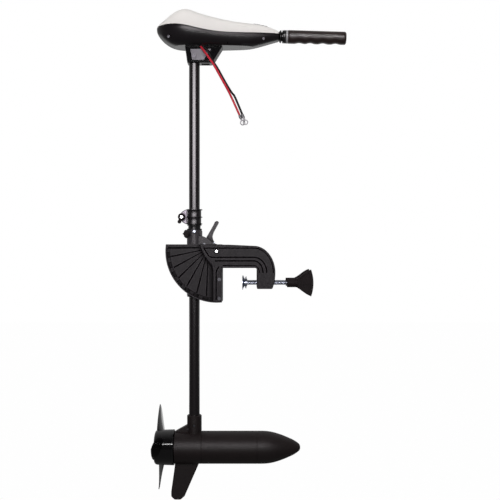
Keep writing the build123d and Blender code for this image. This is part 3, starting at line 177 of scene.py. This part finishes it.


# grime paints shade into recesses, darkening their colour and shine
FINISHES = {
    "casting": dict(
        rgb=(0.0135, 0.0110, 0.0135), rough=0.38, spec=0.24, grain=(1100, 0.00016),
        peel=(260, 0.00008), vary=0.25, dust=0.02, speckle=0.05, painted_recess_shade=(0.014, 3.2),
        # edge: painted highlight on the outside corners of the casting
        edge=(0.0018, 1.0)),
    "yoke_casting": dict(
        rgb=(0.040, 0.036, 0.041), rough=0.42, spec=0.45, grain=(1100, 0.00014),
        peel=(260, 0.00008), vary=0.12, speckle=0.06, painted_recess_shade=(0.010, 2.2)),
    "satin_panel": dict(
        rgb=(0.150, 0.146, 0.176), rough=0.30, spec=0.6, grain=(1600, 0.00003),
        peel=(200, 0.00003), vary=0.10),
    "stamped_plate": dict(
        rgb=(0.36, 0.33, 0.38), rough=0.42, metal=0.8, grain=(1600, 0.00003),
        peel=(300, 0.00003), vary=0.12, painted_recess_shade=(0.006, 1.6)),
    "transom_pad": dict(
        rgb=(0.018, 0.017, 0.019), rough=0.55, spec=0.35, grain=(900, 0.00014)),
    "bright_steel": dict(
        rgb=(0.80, 0.80, 0.82), rough=0.20, metal=1.0, grain=(2200, 0.00001),
        streak=(300, 0.00002, (1, 8, 1))),
    "zinc": dict(
        rgb=(0.58, 0.62, 0.72), rough=0.26, metal=1.0, grain=(1500, 0.00002), vary=0.12,
        blotch=120),
    "dark_steel": dict(rgb=(0.10, 0.10, 0.11), rough=0.35, metal=1.0, grain=(1500, 0.00003)),
    "brass": dict(
        rgb=(0.70, 0.52, 0.25), rough=0.30, metal=1.0, grain=(1500, 0.00002),
        streak=(400, 0.00002, (1, 6, 6))),
    "knob_plastic": dict(
        rgb=(0.0125, 0.0090, 0.0096), rough=0.60, spec=0.15, grain=(1000, 0.00009),
        peel=(220, 0.00006)),
    "nylon": dict(rgb=(0.010, 0.0095, 0.0105), rough=0.30, grain=(1300, 0.00005)),
    "collar_plastic": dict(
        rgb=(0.011, 0.0095, 0.0105), rough=0.28, grain=(1200, 0.00006), peel=(180, 0.00004),
        painted_recess_shade=(0.008, 1.8)),
    "shaft_black": dict(
        rgb=(0.0062, 0.0040, 0.0050), rough=0.25, spec=0.5, coat=0.3, coat_rough=0.16,
        grain=(2500, 0.000001), rough_vary=0.006, vary=0.04),
    "mount_plastic": dict(
        rgb=(0.012, 0.0105, 0.0135), rough=0.26, grain=(1200, 0.00005), peel=(160, 0.00004)),
    "shell_black": dict(
        rgb=(0.0068, 0.0046, 0.0062), rough=0.30, coat=0.15, coat_rough=0.20,
        grain=(1800, 0.00001), peel=(110, 0.00003), rough_vary=0.04),
    "cover_pearl": dict(
        rgb=(0.86, 0.845, 0.81), rough=0.36, coat=0.25, coat_rough=0.14, vary=0.015,
        grain=(2600, 0.00002), peel=(130, 0.00003), speckle=0.10),
    "hatch_grey": dict(rgb=(0.018, 0.0165, 0.019), rough=0.22, grain=(1300, 0.00004)),
    "indicator": dict(rgb=(0.012, 0.012, 0.013), rough=0.14, coat=0.6, grain=(1800, 0.00001)),
    "black_rubber": dict(rgb=(0.008, 0.008, 0.008), rough=0.72, spec=0.3, grain=(1400, 0.00008)),
    "grip_rubber": dict(
        rgb=(0.0200, 0.0098, 0.0090), rough=0.44, spec=0.40, coat=0.40, coat_rough=0.16,
        grain=(1300, 0.00004), peel=(300, 0.00002), vary=0.15),
    "red_pvc": dict(
        rgb=(0.62, 0.022, 0.045), rough=0.30, grain=(1500, 0.00003), peel=(260, 0.00006),
        vary=0.06),
    "black_pvc": dict(
        rgb=(0.006, 0.0055, 0.006), rough=0.60, grain=(1500, 0.00003), peel=(260, 0.00006)),
    "tinned": dict(rgb=(0.24, 0.24, 0.25), rough=0.46, metal=0.6, grain=(1800, 0.00002)),
    "grey_plastic": dict(rgb=(0.36, 0.36, 0.37), rough=0.35, grain=(1200, 0.00005), vary=0.05),
    "alu_rod": dict(
        rgb=(0.75, 0.75, 0.76), rough=0.30, metal=1.0, grain=(1500, 0.00002),
        streak=(350, 0.00003, (0.2, 6, 6))),
    "pod_paint": dict(
        rgb=(0.0105, 0.0066, 0.0068), rough=0.46, spec=0.42, grain=(1300, 0.00013),
        peel=(320, 0.00009), vary=0.12, speckle=0.05),
    "ferrite": dict(rgb=(0.05, 0.05, 0.055), rough=0.6, metal=0.5, grain=(1200, 0.00008)),
    "carbon": dict(rgb=(0.02, 0.02, 0.02), rough=0.55, grain=(1600, 0.00005)),
    "lamination": dict(
        rgb=(0.33, 0.33, 0.36), rough=0.36, metal=1.0, streak=(900, 0.00012, (1, 0.02, 0.02))),
    "enamel_copper": dict(
        rgb=(0.50, 0.20, 0.07), rough=0.28, metal=0.8, coat=0.4, grain=(1200, 0.00012),
        streak=(500, 0.0002, (0.1, 1, 1))),
    "copper": dict(
        rgb=(0.74, 0.38, 0.22), rough=0.26, metal=1.0, grain=(1500, 0.00002),
        streak=(600, 0.00003, (1, 0.05, 0.05))),
    "prop_plastic": dict(
        rgb=(0.0055, 0.0045, 0.0055), rough=0.15, coat=0.4, coat_rough=0.07,
        grain=(1600, 0.00002), peel=(120, 0.00003), rough_vary=0.04),
}
MATERIALS = {name: material(name, **finish) for name, finish in FINISHES.items()}

# ------------------------------------------------------------------ CAD pieces
# pieces whose material is not the one their slot names
SPECIAL_FINISH = {
    "scale_plate": "indicator", "yoke": "yoke_casting", "release_lever": "yoke_casting",
    "lever_pin": "dark_steel", "head_screws": "dark_steel",
}
EDGE_RADIUS = {
    "bracket_near": 0.0007, "bracket_far": 0.0007, "yoke": 0.0005, "release_lever": 0.0008,
    "head_mount": 0.0006, "transom_plate": 0.0004, "depth_collar": 0.0004,
    "upper_bushing": 0.0003, "lower_bushing": 0.0003, "tiller_collar": 0.0003,
    "speed_scale": 0.0003, "tiller_socket": 0.0003, "tension_knob": 0.0004,
    "bracket_bolts": 0.0002, "bracket_nuts": 0.0002,
}


def soften(piece, radius):
    """Weld the CAD facets and round the hard edges, as on a moulded or cast part."""
    weld = piece.modifiers.new("weld", "WELD")
    weld.merge_threshold = 2e-6
    bevel = piece.modifiers.new("round", "BEVEL")
    bevel.width = radius
    bevel.segments = 2
    bevel.limit_method = "ANGLE"
    bevel.angle_limit = math.radians(38)
    bevel.use_clamp_overlap = True
    bevel.harden_normals = False
    bevel.miter_outer = "MITER_ARC"


for node_name, piece in NODES.items():
    piece.data.materials.clear()
    piece.data.materials.append(MATERIALS[SPECIAL_FINISH.get(node_name) or SLOTS[node_name]])
for node_name, radius in EDGE_RADIUS.items():
    soften(NODES[node_name], radius)


# ------------------------------------------------------------------ mesh builders
def linked(name, data):
    """New object in the scene."""
    made = bpy.data.objects.new(name, data)
    bpy.context.scene.collection.objects.link(made)
    return made


def mesh_object(name, verts, faces, finish, sharp_angle=40):
    """Smooth-shaded mesh with edges steeper than sharp_angle (degrees) kept sharp."""
    mesh = bpy.data.meshes.new(name)
    mesh.from_pydata([tuple(v) for v in verts], [], faces)
    mesh.validate()
    work = bmesh.new()
    work.from_mesh(mesh)
    bmesh.ops.remove_doubles(work, verts=work.verts, dist=1e-7)
    bmesh.ops.recalc_face_normals(work, faces=work.faces)
    for face in work.faces:
        face.smooth = True
    for edge in work.edges:
        if len(edge.link_faces) == 2 and edge.calc_face_angle(0) > math.radians(sharp_angle):
            edge.smooth = False
    work.to_mesh(mesh)
    work.free()
    made = linked(name, mesh)
    mesh.materials.append(MATERIALS[finish])
    return made


def turned(origin, axis, up, profile, steps, radius_at=None):
    """Solid of revolution from (distance along axis, radius) points.

    radius_at(distance, angle from up, radius) may reshape the radius.
    """
    side = axis.cross(up).normalized()
    verts, faces, rows = [], [], []
    for distance, radius in profile:
        centre = Vector(origin) + axis * distance
        if radius < 1e-9:
            rows.append([len(verts)])
            verts.append(centre)
            continue
        rows.append(range(len(verts), len(verts) + steps))
        for k in range(steps):
            angle = TAU * k / steps
            shaped = radius_at(distance, angle, radius) if radius_at else radius
            verts.append(centre + (up * math.cos(angle) + side * math.sin(angle)) * shaped)
    for row, after in zip(rows, rows[1:]):
        for k in range(steps):
            k2 = (k + 1) % steps
            if len(row) == 1:
                faces.append((row[0], after[k], after[k2]))
            elif len(after) == 1:
                faces.append((row[k], after[0], row[k2]))
            else:
                faces.append((row[k], after[k], after[k2], row[k2]))
    return verts, faces


def bridged(rows, steps):
    """Quads between successive closed rows of steps points."""
    faces = []
    for j in range(rows - 1):
        a, b = j * steps, (j + 1) * steps
        for k in range(steps):
            k2 = (k + 1) % steps
            faces.append((a + k, a + k2, b + k2, b + k))
    return faces


def joined(chunks):
    verts, faces = [], []
    for chunk_verts, chunk_faces in chunks:
        first = len(verts)
        verts += chunk_verts
        faces += [tuple(i + first for i in face) for face in chunk_faces]
    return verts, faces


# ------------------------------------------------------------------ clamp screws, real helix
SCREW_Y = 0.040
SCREW_Z = -0.0396
THREAD_PITCH = 0.003
THREAD_ROW = 0.0003  # spacing of mesh rows, ten to a turn
THREAD_START, THREAD_END = 0.0687, 0.1765
CREST_RADIUS = 0.00498
THREAD_DEPTH = 0.00078
# (x, radius): collar and neck, threaded length, plain end
SCREW_PROFILE = [
    (0.0583, 0), (0.0583, 0.0043), (0.0600, 0.0063), (0.0630, 0.0063), (0.0641, 0.0051),
    (0.0642, 0.0043), (0.0684, 0.0043),
    *((0.0684 + THREAD_ROW * i, 0.0050) for i in range(1, 361)),
    (0.1770, 0.0048), (0.1955, 0.0048), (0.1955, 0),
]


def thread_radius(distance, angle, radius):
    if distance < THREAD_START or distance > THREAD_END:
        return radius
    # the groove fades out at both ends
    fade = min(1.0, (distance - THREAD_START) / 0.003, (THREAD_END - distance) / 0.004)
    phase = (distance / THREAD_PITCH - angle / TAU) % 1.0
    # flat crest, sloped flank, flat root
    groove = min(1.0, max(0.0, (abs(phase * 2 - 1) - 0.32) / 0.36))
    return CREST_RADIUS - THREAD_DEPTH * fade * groove


def clamp_screw(side, y):
    verts, faces = turned((0, y, SCREW_Z), X_AXIS, Z_AXIS, SCREW_PROFILE, 40, thread_radius)
    screw = mesh_object("screw_thread_" + side, verts, faces, "zinc", sharp_angle=60)
    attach(screw, "screw_" + side)
    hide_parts("clamp_screw_" + side)


clamp_screw("near", -SCREW_Y)
clamp_screw("far", SCREW_Y)

# ------------------------------------------------------------------ tiller grip
TILLER_DROP = math.radians(1.47)  # downward slope toward +X
TILLER_START = (0.1758, 0, 0.6183)
TILLER_AXIS = Vector((math.cos(TILLER_DROP), 0, -math.sin(TILLER_DROP))).normalized()
TILLER_UP = Vector((math.sin(TILLER_DROP), 0, math.cos(TILLER_DROP))).normalized()
GRIP_LENGTH = 0.1558
GRIP_STEPS = 180
BARREL_START, BARREL_END, BARREL_ROWS = 0.0020, 0.1500, 185
BARREL_RADIUS, BARREL_TAPER = 0.0178, 0.0006
BORE_RADIUS, BORE_LENGTH = 0.01402, 0.1521
# (distance, depth) of the finger scallops
SCALLOPS = [(0.031, 0.0024), (0.060, 0.0028), (0.094, 0.0028), (0.128, 0.0026)]
SCALLOP_HALF_LENGTH = 0.0150
RIB_COUNT, RIB_DEPTH = 36, 0.00022
RIB_START, RIB_END, RIB_FADE = 0.006, 0.146, 0.003
# (start, end) of the two shallow ring grooves
RINGS = [(0.0030, 0.0042), (0.1478, 0.1490)]
RING_DEPTH = 0.0005


def grip_radius(distance, angle, radius):
    """Cut scallops on the underside, fine lengthwise ribs and end rings."""
    if radius < 0.0150 or distance < 0.0004:
        return radius
    under = max(0.0, -math.cos(angle)) ** 1.6
    dip = 0.0
    for centre, depth in SCALLOPS:
        offset = (distance - centre) / SCALLOP_HALF_LENGTH
        if abs(offset) < 1:
            dip = max(dip, depth * (0.5 + 0.5 * math.cos(math.pi * offset)))
    fade = min(1.0, max(0.0, (distance - RIB_START) / RIB_FADE),
               max(0.0, (RIB_END - distance) / RIB_FADE))
    rib = RIB_DEPTH * (0.5 + 0.5 * math.cos(RIB_COUNT * angle)) * fade
    ring = RING_DEPTH if any(start < distance < end for start, end in RINGS) else 0.0
    return radius - dip * under - rib - ring


def grip():
    # (distance, radius): rounded start, tapering barrel, domed end
    profile = [(0.0, BORE_RADIUS), (0.0, 0.0160), (0.0002, 0.0170), (0.0008, 0.0175),
               (BARREL_START, BARREL_RADIUS)]
    for i in range(1, BARREL_ROWS + 1):
        distance = BARREL_START + (BARREL_END - BARREL_START) * i / BARREL_ROWS
        profile.append((distance, BARREL_RADIUS - BARREL_TAPER * distance / BARREL_END))
    profile += [(0.1520, 0.0169), (0.1536, 0.0163), (0.1548, 0.0152), (0.1555, 0.0135),
                (GRIP_LENGTH, 0.0110), (GRIP_LENGTH, 0.0060), (0.1552, 0.0040), (0.1552, 0.0)]
    bore = [(0.0, BORE_RADIUS), (BORE_LENGTH, BORE_RADIUS), (BORE_LENGTH, 0.0)]
    verts, faces = joined([
        turned(TILLER_START, TILLER_AXIS, TILLER_UP, profile, GRIP_STEPS, grip_radius),
        turned(TILLER_START, TILLER_AXIS, TILLER_UP, bore, GRIP_STEPS)])
    sleeve = mesh_object("grip_rubber_sleeve", verts, faces, "grip_rubber", sharp_angle=50)
    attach(sleeve, "grip")
    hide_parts("grip_sleeve")
    return sleeve


sleeve = grip()

# ------------------------------------------------------------------ thin plates
PLATE_EDGE = 0.00012  # edge radius
# (x, z)
PANEL_CORNERS = [(-0.0852, 0.5824), (-0.0794, 0.5526), (-0.0493, 0.5526), (-0.0286, 0.5824)]
PANEL_HOLE = (-0.075, 0.562, 0.0031)  # x, z, radius
PANEL_INNER_Y, PANEL_OUTER_Y = 0.01501, 0.0156
BOSS_X, BOSS_Z, BOSS_RADIUS = -0.1080, 0.1353, 0.0048


def circle(x, z, radius, steps=36):
    return [(x + radius * math.cos(TAU * k / steps), z + radius * math.sin(TAU * k / steps))
            for k in range(steps)]


def rounded(corners, radius, steps=6):
    """Polygon with its corners turned into short arcs."""
    outline = []
    for i, corner in enumerate(corners):
        corner = Vector(corner)
        back = Vector(corners[i - 1]) - corner
        ahead = Vector(corners[(i + 1) % len(corners)]) - corner
        reach = min(radius, back.length * 0.45, ahead.length * 0.45)
        start = corner + back.normalized() * reach
        end = corner + ahead.normalized() * reach
        for k in range(steps + 1):
            t = k / steps
            point = start * (1 - t) ** 2 + corner * (2 * t * (1 - t)) + end * t ** 2
            outline.append((point.x, point.y))
    return outline


def plate(name, loops, y_faces, finish, body):
    """Flat sheet between two Y faces, from (x, z) loops: the outline, then any holes."""
    y0, y1 = y_faces
    curve = bpy.data.curves.new(name, "CURVE")
    curve.dimensions = "2D"
    curve.fill_mode = "BOTH"
    for loop in loops:
        spline = curve.splines.new("POLY")
        spline.points.add(len(loop) - 1)
        for point, (x, z) in zip(spline.points, loop):
            point.co = (x, z, 0, 1)
        spline.use_cyclic_u = True
    curve.extrude = abs(y1 - y0) / 2 - PLATE_EDGE
    curve.bevel_depth = PLATE_EDGE
    curve.bevel_resolution = 2
    curve.offset = -PLATE_EDGE
    sheet = linked(name + "_sheet", curve)
    depsgraph = bpy.context.evaluated_depsgraph_get()
    mesh = bpy.data.meshes.new_from_object(sheet.evaluated_get(depsgraph))
    bpy.data.objects.remove(sheet)
    # stand the sheet up in the XZ plane
    for vertex in mesh.vertices:
        x, z, depth = vertex.co
        vertex.co = (x, (y0 + y1) / 2 - depth, z)
    work = bmesh.new()
    work.from_mesh(mesh)
    bmesh.ops.remove_doubles(work, verts=work.verts, dist=2e-6)
    bmesh.ops.recalc_face_normals(work, faces=work.faces)
    for face in work.faces:
        face.smooth = False
    work.to_mesh(mesh)
    work.free()
    mesh.name = name
    mesh.materials.clear()
    mesh.materials.append(MATERIALS[finish])
    made = linked(name, mesh)
    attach(made, body)


for side, sign in (("near", -1), ("far", 1)):
    plate("mount_panel_" + side, [rounded(PANEL_CORNERS, 0.0015), circle(*PANEL_HOLE)],
          (sign * PANEL_INNER_Y, sign * PANEL_OUTER_Y), "satin_panel", "shaft")

# facing plate on the near side of the collar ear, (x, z), cut away round the boss
EAR_OUTLINE = [
    (-0.0957, 0.1530), (-0.0976, 0.1530), (-0.1052, 0.1488), (-0.1122, 0.1418),
    *((BOSS_X + BOSS_RADIUS * math.cos(math.radians(degrees)),
       BOSS_Z + BOSS_RADIUS * math.sin(math.radians(degrees)))
      for degrees in range(151, -152, -13)),
    (-0.1122, 0.1290), (-0.1052, 0.1224), (-0.0976, 0.1182), (-0.0957, 0.1182),
]
plate("collar_ear_plate", [EAR_OUTLINE], (-0.0088, -0.00801), "stamped_plate", "collar")


# ------------------------------------------------------------------ set screw
def set_screw():
    """Hexagon head on a small flange, facing -Y, with a shallow dimple."""
    centre_x, base_y, centre_z = -0.0738, -0.0201, 0.0960
    radius, height, steps = 0.0032, 0.0026, 48
    # (rise toward -Y, share of radius, hexagonal)
    rings = [
        (0.0, 1.28, False), (0.0006, 1.30, False), (0.0008, 1.22, False), (0.0008, 1.0, True),
        (height - 0.0003, 1.0, True), (height, 0.88, True), (height, 0.42, False),
        (height - 0.0006, 0.30, False),
    ]
    sixth = math.pi / 6
    verts = []
    for rise, share, hexagonal in rings:
        for k in range(steps):
            angle = TAU * k / steps
            reach = share * radius
            if hexagonal:
                reach *= math.cos(sixth) / math.cos((angle + sixth) % (math.pi / 3) - sixth)
            verts.append((centre_x + reach * math.cos(angle), base_y - rise,
                          centre_z + reach * math.sin(angle)))
    faces = bridged(len(rings), steps)
    faces.append(tuple(range(steps - 1, -1, -1)))
    faces.append(tuple(range(len(verts) - steps, len(verts))))
    screw = mesh_object("bushing_set_screw", verts, faces, "zinc")
    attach(screw, "yoke_body")


set_screw()

# ------------------------------------------------------------------ red battery lead
LEAD_RADIUS = 0.0028
LEAD_PATH = [
    (-0.0557, -0.0255, 0.5925), (-0.0557, -0.0255, 0.5860), (-0.0505, -0.0286, 0.5775),
    (-0.0335, -0.0385, 0.5525), (-0.0195, -0.0445, 0.5300), (-0.0050, -0.0500, 0.5035),
    (0.0215, -0.0620, 0.4530), (0.0470, -0.0720, 0.3960),
]


def smooth_path(points, steps=14):
    """Centripetal Catmull-Rom run through the points."""
    points = [Vector(p) for p in points]
    points = [points[0] * 2 - points[1]] + points + [points[-1] * 2 - points[-2]]
    run = []
    for i in range(1, len(points) - 2):
        controls = points[i - 1:i + 3]
        knots = [0.0]
        for start, end in zip(controls, controls[1:]):
            knots.append(knots[-1] + (end - start).length ** 0.5)

        def between(pair, first, last, t):
            span = knots[last] - knots[first]
            return pair[0] * ((knots[last] - t) / span) + pair[1] * ((t - knots[first]) / span)

        for k in range(steps):
            t = knots[1] + (knots[2] - knots[1]) * k / steps
            level = [between(controls[j:j + 2], j, j + 1, t) for j in range(3)]
            level = [between(level[j:j + 2], j, j + 2, t) for j in range(2)]
            run.append(between(level, 1, 2, t))
    run.append(points[-2])
    return run


def battery_lead(steps=24):
    run = smooth_path(LEAD_PATH)
    last = len(run) - 1
    up = Vector((0, 1, 0))
    verts = []
    for i, point in enumerate(run):
        tangent = (run[min(i + 1, last)] - run[max(i - 1, 0)]).normalized()
        # carry the up direction along, so that the tube does not twist
        up = (up - tangent * up.dot(tangent)).normalized()
        side = tangent.cross(up)
        for k in range(steps):
            angle = TAU * k / steps
            verts.append(point + (up * math.cos(angle) + side * math.sin(angle)) * LEAD_RADIUS)
    faces = bridged(len(run), steps)
    faces.append(tuple(range(steps)))
    faces.append(tuple(range(last * steps, len(run) * steps)))
    lead = mesh_object("battery_lead_red", verts, faces, "red_pvc", sharp_angle=50)
    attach(lead, "shaft")
    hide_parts("lead_red")


battery_lead()

# ------------------------------------------------------------------ propeller
ADVANCE = 0.110 / TAU  # helix advance per radian
BLADE_X = -0.1760  # rear limit of the blade's mean line, before camber
BLADE_ROWS, HALF_SECTION_STEPS = 46, 20
# (radius, chord)
CHORD = [
    (0.0442, 0.056), (0.056, 0.0600), (0.072, 0.0590), (0.090, 0.0530), (0.106, 0.0440),
    (0.117, 0.0340), (0.1245, 0.0235), (0.1282, 0.0140), (0.1295, 0.0050),
]
# (radius, section thickness)
THICKNESS = [
    (0.0442, 0.0095), (0.048, 0.0078), (0.055, 0.0062), (0.075, 0.0050), (0.100, 0.0036),
    (0.120, 0.0024), (0.1295, 0.0013),
]
ROOT_RADIUS, TIP_RADIUS = CHORD[0][0], CHORD[-1][0]
# (x, radius): +X rim, groove, tapering wall, rounded -X end, centre bore, hollow inside
HUB_PROFILE = [
    (-0.1286, 0.0440), (-0.1286, 0.0462), (-0.1290, 0.0467), (-0.1296, 0.0470),
    (-0.1345, 0.04685), (-0.1347, 0.0465), (-0.1353, 0.0465), (-0.1355, 0.0468),
    *((-0.1355 - 0.0365 * i / 10, 0.0468 - 0.0012 * i / 10) for i in range(1, 11)),
    (-0.1745, 0.0451), (-0.1768, 0.0442), (-0.1786, 0.0428), (-0.1799, 0.0408),
    (-0.1805, 0.0385), (-0.1806, 0.0360), (-0.1806, 0.0170), (-0.1802, 0.0160),
    (-0.1790, 0.0122), (-0.1780, 0.0115), (-0.1730, 0.0115), (-0.1730, 0.0060),
    (-0.1450, 0.0060), (-0.1450, 0.0130), (-0.1680, 0.0130), (-0.1680, 0.0430),
    (-0.1300, 0.0430), (-0.1286, 0.0440),
]
WEB_X = (-0.1682, -0.1452)
WEB_INNER, WEB_OUTER, WEB_HALF_WIDTH = 0.0125, 0.0435, 0.00225


def interpolate(table, x):
    for (x0, y0), (x1, y1) in zip(table, table[1:]):
        if x <= x1:
            return y0 + (y1 - y0) * ((x - x0) / (x1 - x0))
    return table[-1][1]


def blade(degrees):
    """Helicoid blade standing at an angle from +Z round the propeller axis."""
    turn = math.radians(degrees)
    radial = Vector((0, -math.sin(turn), math.cos(turn)))
    tangent = (-X_AXIS).cross(radial)
    loop = 2 * HALF_SECTION_STEPS
    verts, faces = [], []
    for i in range(BLADE_ROWS + 1):
        # rows crowd toward the tip
        spread = 1 - (1 - i / BLADE_ROWS) ** 1.5
        radius = ROOT_RADIUS + (TIP_RADIUS - ROOT_RADIUS) * spread
        chord, thickness = interpolate(CHORD, radius), interpolate(THICKNESS, radius)
        pitch = math.atan(ADVANCE / radius)
        sweep = 0.10 * (radius - 0.044) / radius
        for k in range(loop):
            # round the section from the trailing edge, past the leading edge, and back
            around = math.pi * k / HALF_SECTION_STEPS
            station = -0.5 * math.cos(around)
            fullness = 0.5 * math.sin(around) * (1 - 0.25 * (station + 0.5))
            fullness *= math.sqrt(max(0.0, 1 - (2 * station) ** 6))
            camber = 0.035 * chord * (1 - (2 * station) ** 2)
            along = station * chord
            off = fullness * thickness + camber
            angle = (along * math.cos(pitch) - off * math.sin(pitch)) / radius + sweep
            x = BLADE_X + (along + chord / 2) * math.sin(pitch) + off * math.cos(pitch)
            direction = radial * math.cos(angle) + tangent * math.sin(angle)
            verts.append(Vector((x, 0, POD_Z)) + direction * radius)
    for i in range(BLADE_ROWS):
        a, b = i * loop, (i + 1) * loop
        for k in range(loop):
            k2 = (k + 1) % loop
            faces.append((a + k, b + k, b + k2, a + k2))
    faces.append(tuple(range(loop)))
    faces.append(tuple(range(BLADE_ROWS * loop, (BLADE_ROWS + 1) * loop)))
    return verts, faces


def web(degrees):
    """Flat web between the hub's centre tube and its outer wall."""
    turn = math.radians(degrees)
    radial = Vector((0, math.cos(turn), math.sin(turn)))
    tangent = Vector((0, -math.sin(turn), math.cos(turn)))
    corners = ((WEB_INNER, 1), (WEB_OUTER, 1), (WEB_OUTER, -1), (WEB_INNER, -1))
    verts = [Vector((x, 0, POD_Z)) + radial * radius + tangent * (WEB_HALF_WIDTH * sign)
             for x in WEB_X for radius, sign in corners]
    return verts, [(0, 1, 2, 3), (4, 5, 6, 7), (0, 1, 5, 4), (1, 2, 6, 5), (2, 3, 7, 6),
                   (3, 0, 4, 7)]


def propeller():
    chunks = [turned((0, 0, POD_Z), X_AXIS, Z_AXIS, HUB_PROFILE, 128)]
    chunks += [blade(82 + 120 * k) for k in range(3)]
    chunks += [web(30 + 120 * k) for k in range(3)]
    verts, faces = joined(chunks)
    made = mesh_object("propeller_three_blade", verts, faces, "prop_plastic", sharp_angle=35)
    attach(made, "rotor")
    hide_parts("propeller")


propeller()

# ------------------------------------------------------------------ floor and world
FLOOR_Z, FLOOR_HALF = -0.70, 6
WHITE = (1, 1, 1, 1)


def paper():
    """Pale studio paper: even and bright to the camera, softly lit for everything else."""
    made = bpy.data.materials.new("paper")
    graph = Graph(made)
    place = graph.add("TexCoord").outputs["Object"]
    colour = graph.ramp(graph.noise(place, scale=60), low=(0.985, 0.985, 0.985, 1), high=WHITE)
    seen = graph.add("Emission", {"Color": colour, "Strength": 1.0})
    # little light comes back from under the object, more from the paper far behind it
    y = graph.add("SeparateXYZ", {0: place}).outputs["Y"]
    glow = graph.remap(y, source=(0.9, 2.0), to=(0.10, 1.0))
    room = graph.add("Emission", {"Color": colour, "Strength": glow})
    graph.add("OutputMaterial", {0: graph.camera_switch(room, seen)})
    return made


def studio_floor():
    mesh = bpy.data.meshes.new("floor")
    corners = [(x * FLOOR_HALF, y * FLOOR_HALF, FLOOR_Z)
               for x, y in ((-1, -1), (1, -1), (1, 1), (-1, 1))]
    mesh.from_pydata(corners, [], [(0, 1, 2, 3)])
    mesh.materials.append(paper())
    linked("floor", mesh)


def studio_world():
    """White behind the object, dim on the camera's side, plain white to the camera."""
    world = bpy.data.worlds.new("studio")
    bpy.context.scene.world = world
    graph = Graph(world)
    direction = graph.add("TexCoord").outputs["Generated"]
    y = graph.add("SeparateXYZ", {0: direction}).outputs["Y"]
    glow = graph.remap(y, source=(-0.45, 0.35), to=(0.05, 0.38))
    room = graph.add("Background", {"Color": WHITE, "Strength": glow})
    seen = graph.add("Background", {"Color": WHITE, "Strength": 1.0})
    graph.add("OutputWorld", {0: graph.camera_switch(room, seen)})


studio_floor()
studio_world()


# ------------------------------------------------------------------ lights
def area(name, at, target, size, power, colour=(1, 1, 1), shine=True, fill=True, only=(),
         but=()):
    """Rectangular lamp; it lights just the objects in only, or all except those in but."""
    light = bpy.data.lights.new(name, "AREA")
    light.shape = "RECTANGLE"
    light.size, light.size_y = size
    light.energy = power
    light.color = colour
    lamp = linked(name, light)
    lamp.location = at
    lamp.rotation_euler = (Vector(target) - Vector(at)).to_track_quat("-Z", "Y").to_euler()
    lamp.visible_camera = False
    lamp.visible_glossy = shine
    lamp.visible_diffuse = fill
    if only or but:
        receivers = bpy.data.collections.new("seen_by_" + name)
        for piece in only or but:
            receivers.objects.link(piece)
        if but:
            for entry in receivers.collection_objects:
                entry.light_linking.link_state = "EXCLUDE"
        lamp.light_linking.receiver_collection = receivers


prop_parts = [o for o in bpy.data.objects if o.type == "MESH" and "prop" in o.name]
shaft_parts = [NODES[n] for n in ("shaft_tube", "depth_collar")]
tiller_parts = [sleeve] + [NODES[n] for n in ("tiller_collar", "speed_scale", "tiller_tube")]

area("top", at=(0.0, -0.9, 2.6), target=(0.0, 0, 0.2), size=(2.4, 1.6), power=26, shine=False)
area("window", at=(-0.25, -2.5, 0.86), target=(-0.05, 0, 0.35), size=(1.9, 0.72), power=28,
     colour=(1.0, 0.94, 0.97), but=prop_parts + [NODES["head_mount"]])
area("strip_wide", at=(0.05, -2.5, 0.11), target=(0.05, 0, -0.48), size=(1.7, 0.09), power=7,
     but=prop_parts)
area("strip_hub", at=(0.0, -2.5, 1.15), target=(-0.15, 0, -0.48), size=(1.5, 0.16), power=16,
     fill=False, only=prop_parts)
area("left", at=(-2.4, -1.4, 0.6), target=(0, 0, 0), size=(1.2, 2.0), power=9, shine=False)
area("right", at=(2.4, -1.2, 0.5), target=(0, 0, 0), size=(1.0, 2.0), power=7, shine=False)
area("card_shaft", at=(-0.16, -1.25, 0.55), target=(-0.16, 0, 0.55), size=(1.7, 0.72),
     power=24, colour=(1.0, 0.95, 1.0), fill=False, only=shaft_parts)
area("strip_grip", at=(0.30, -2.5, 1.72), target=(0.25, 0, 0.62), size=(0.9, 0.05), power=30,
     fill=False, only=tiller_parts)


# ------------------------------------------------------------------ camera
def add_camera():
    """Level camera looking along +Y."""
    data = bpy.data.cameras.new("camera")
    data.sensor_width = 36.0
    data.lens = 56.4
    camera = linked("camera", data)
    camera.location = (0.074, -2.1, 0.0471)
    camera.rotation_euler = (math.radians(90), 0, 0)
    bpy.context.scene.camera = camera
    bpy.context.scene.view_settings.view_transform = "Standard"


add_camera()
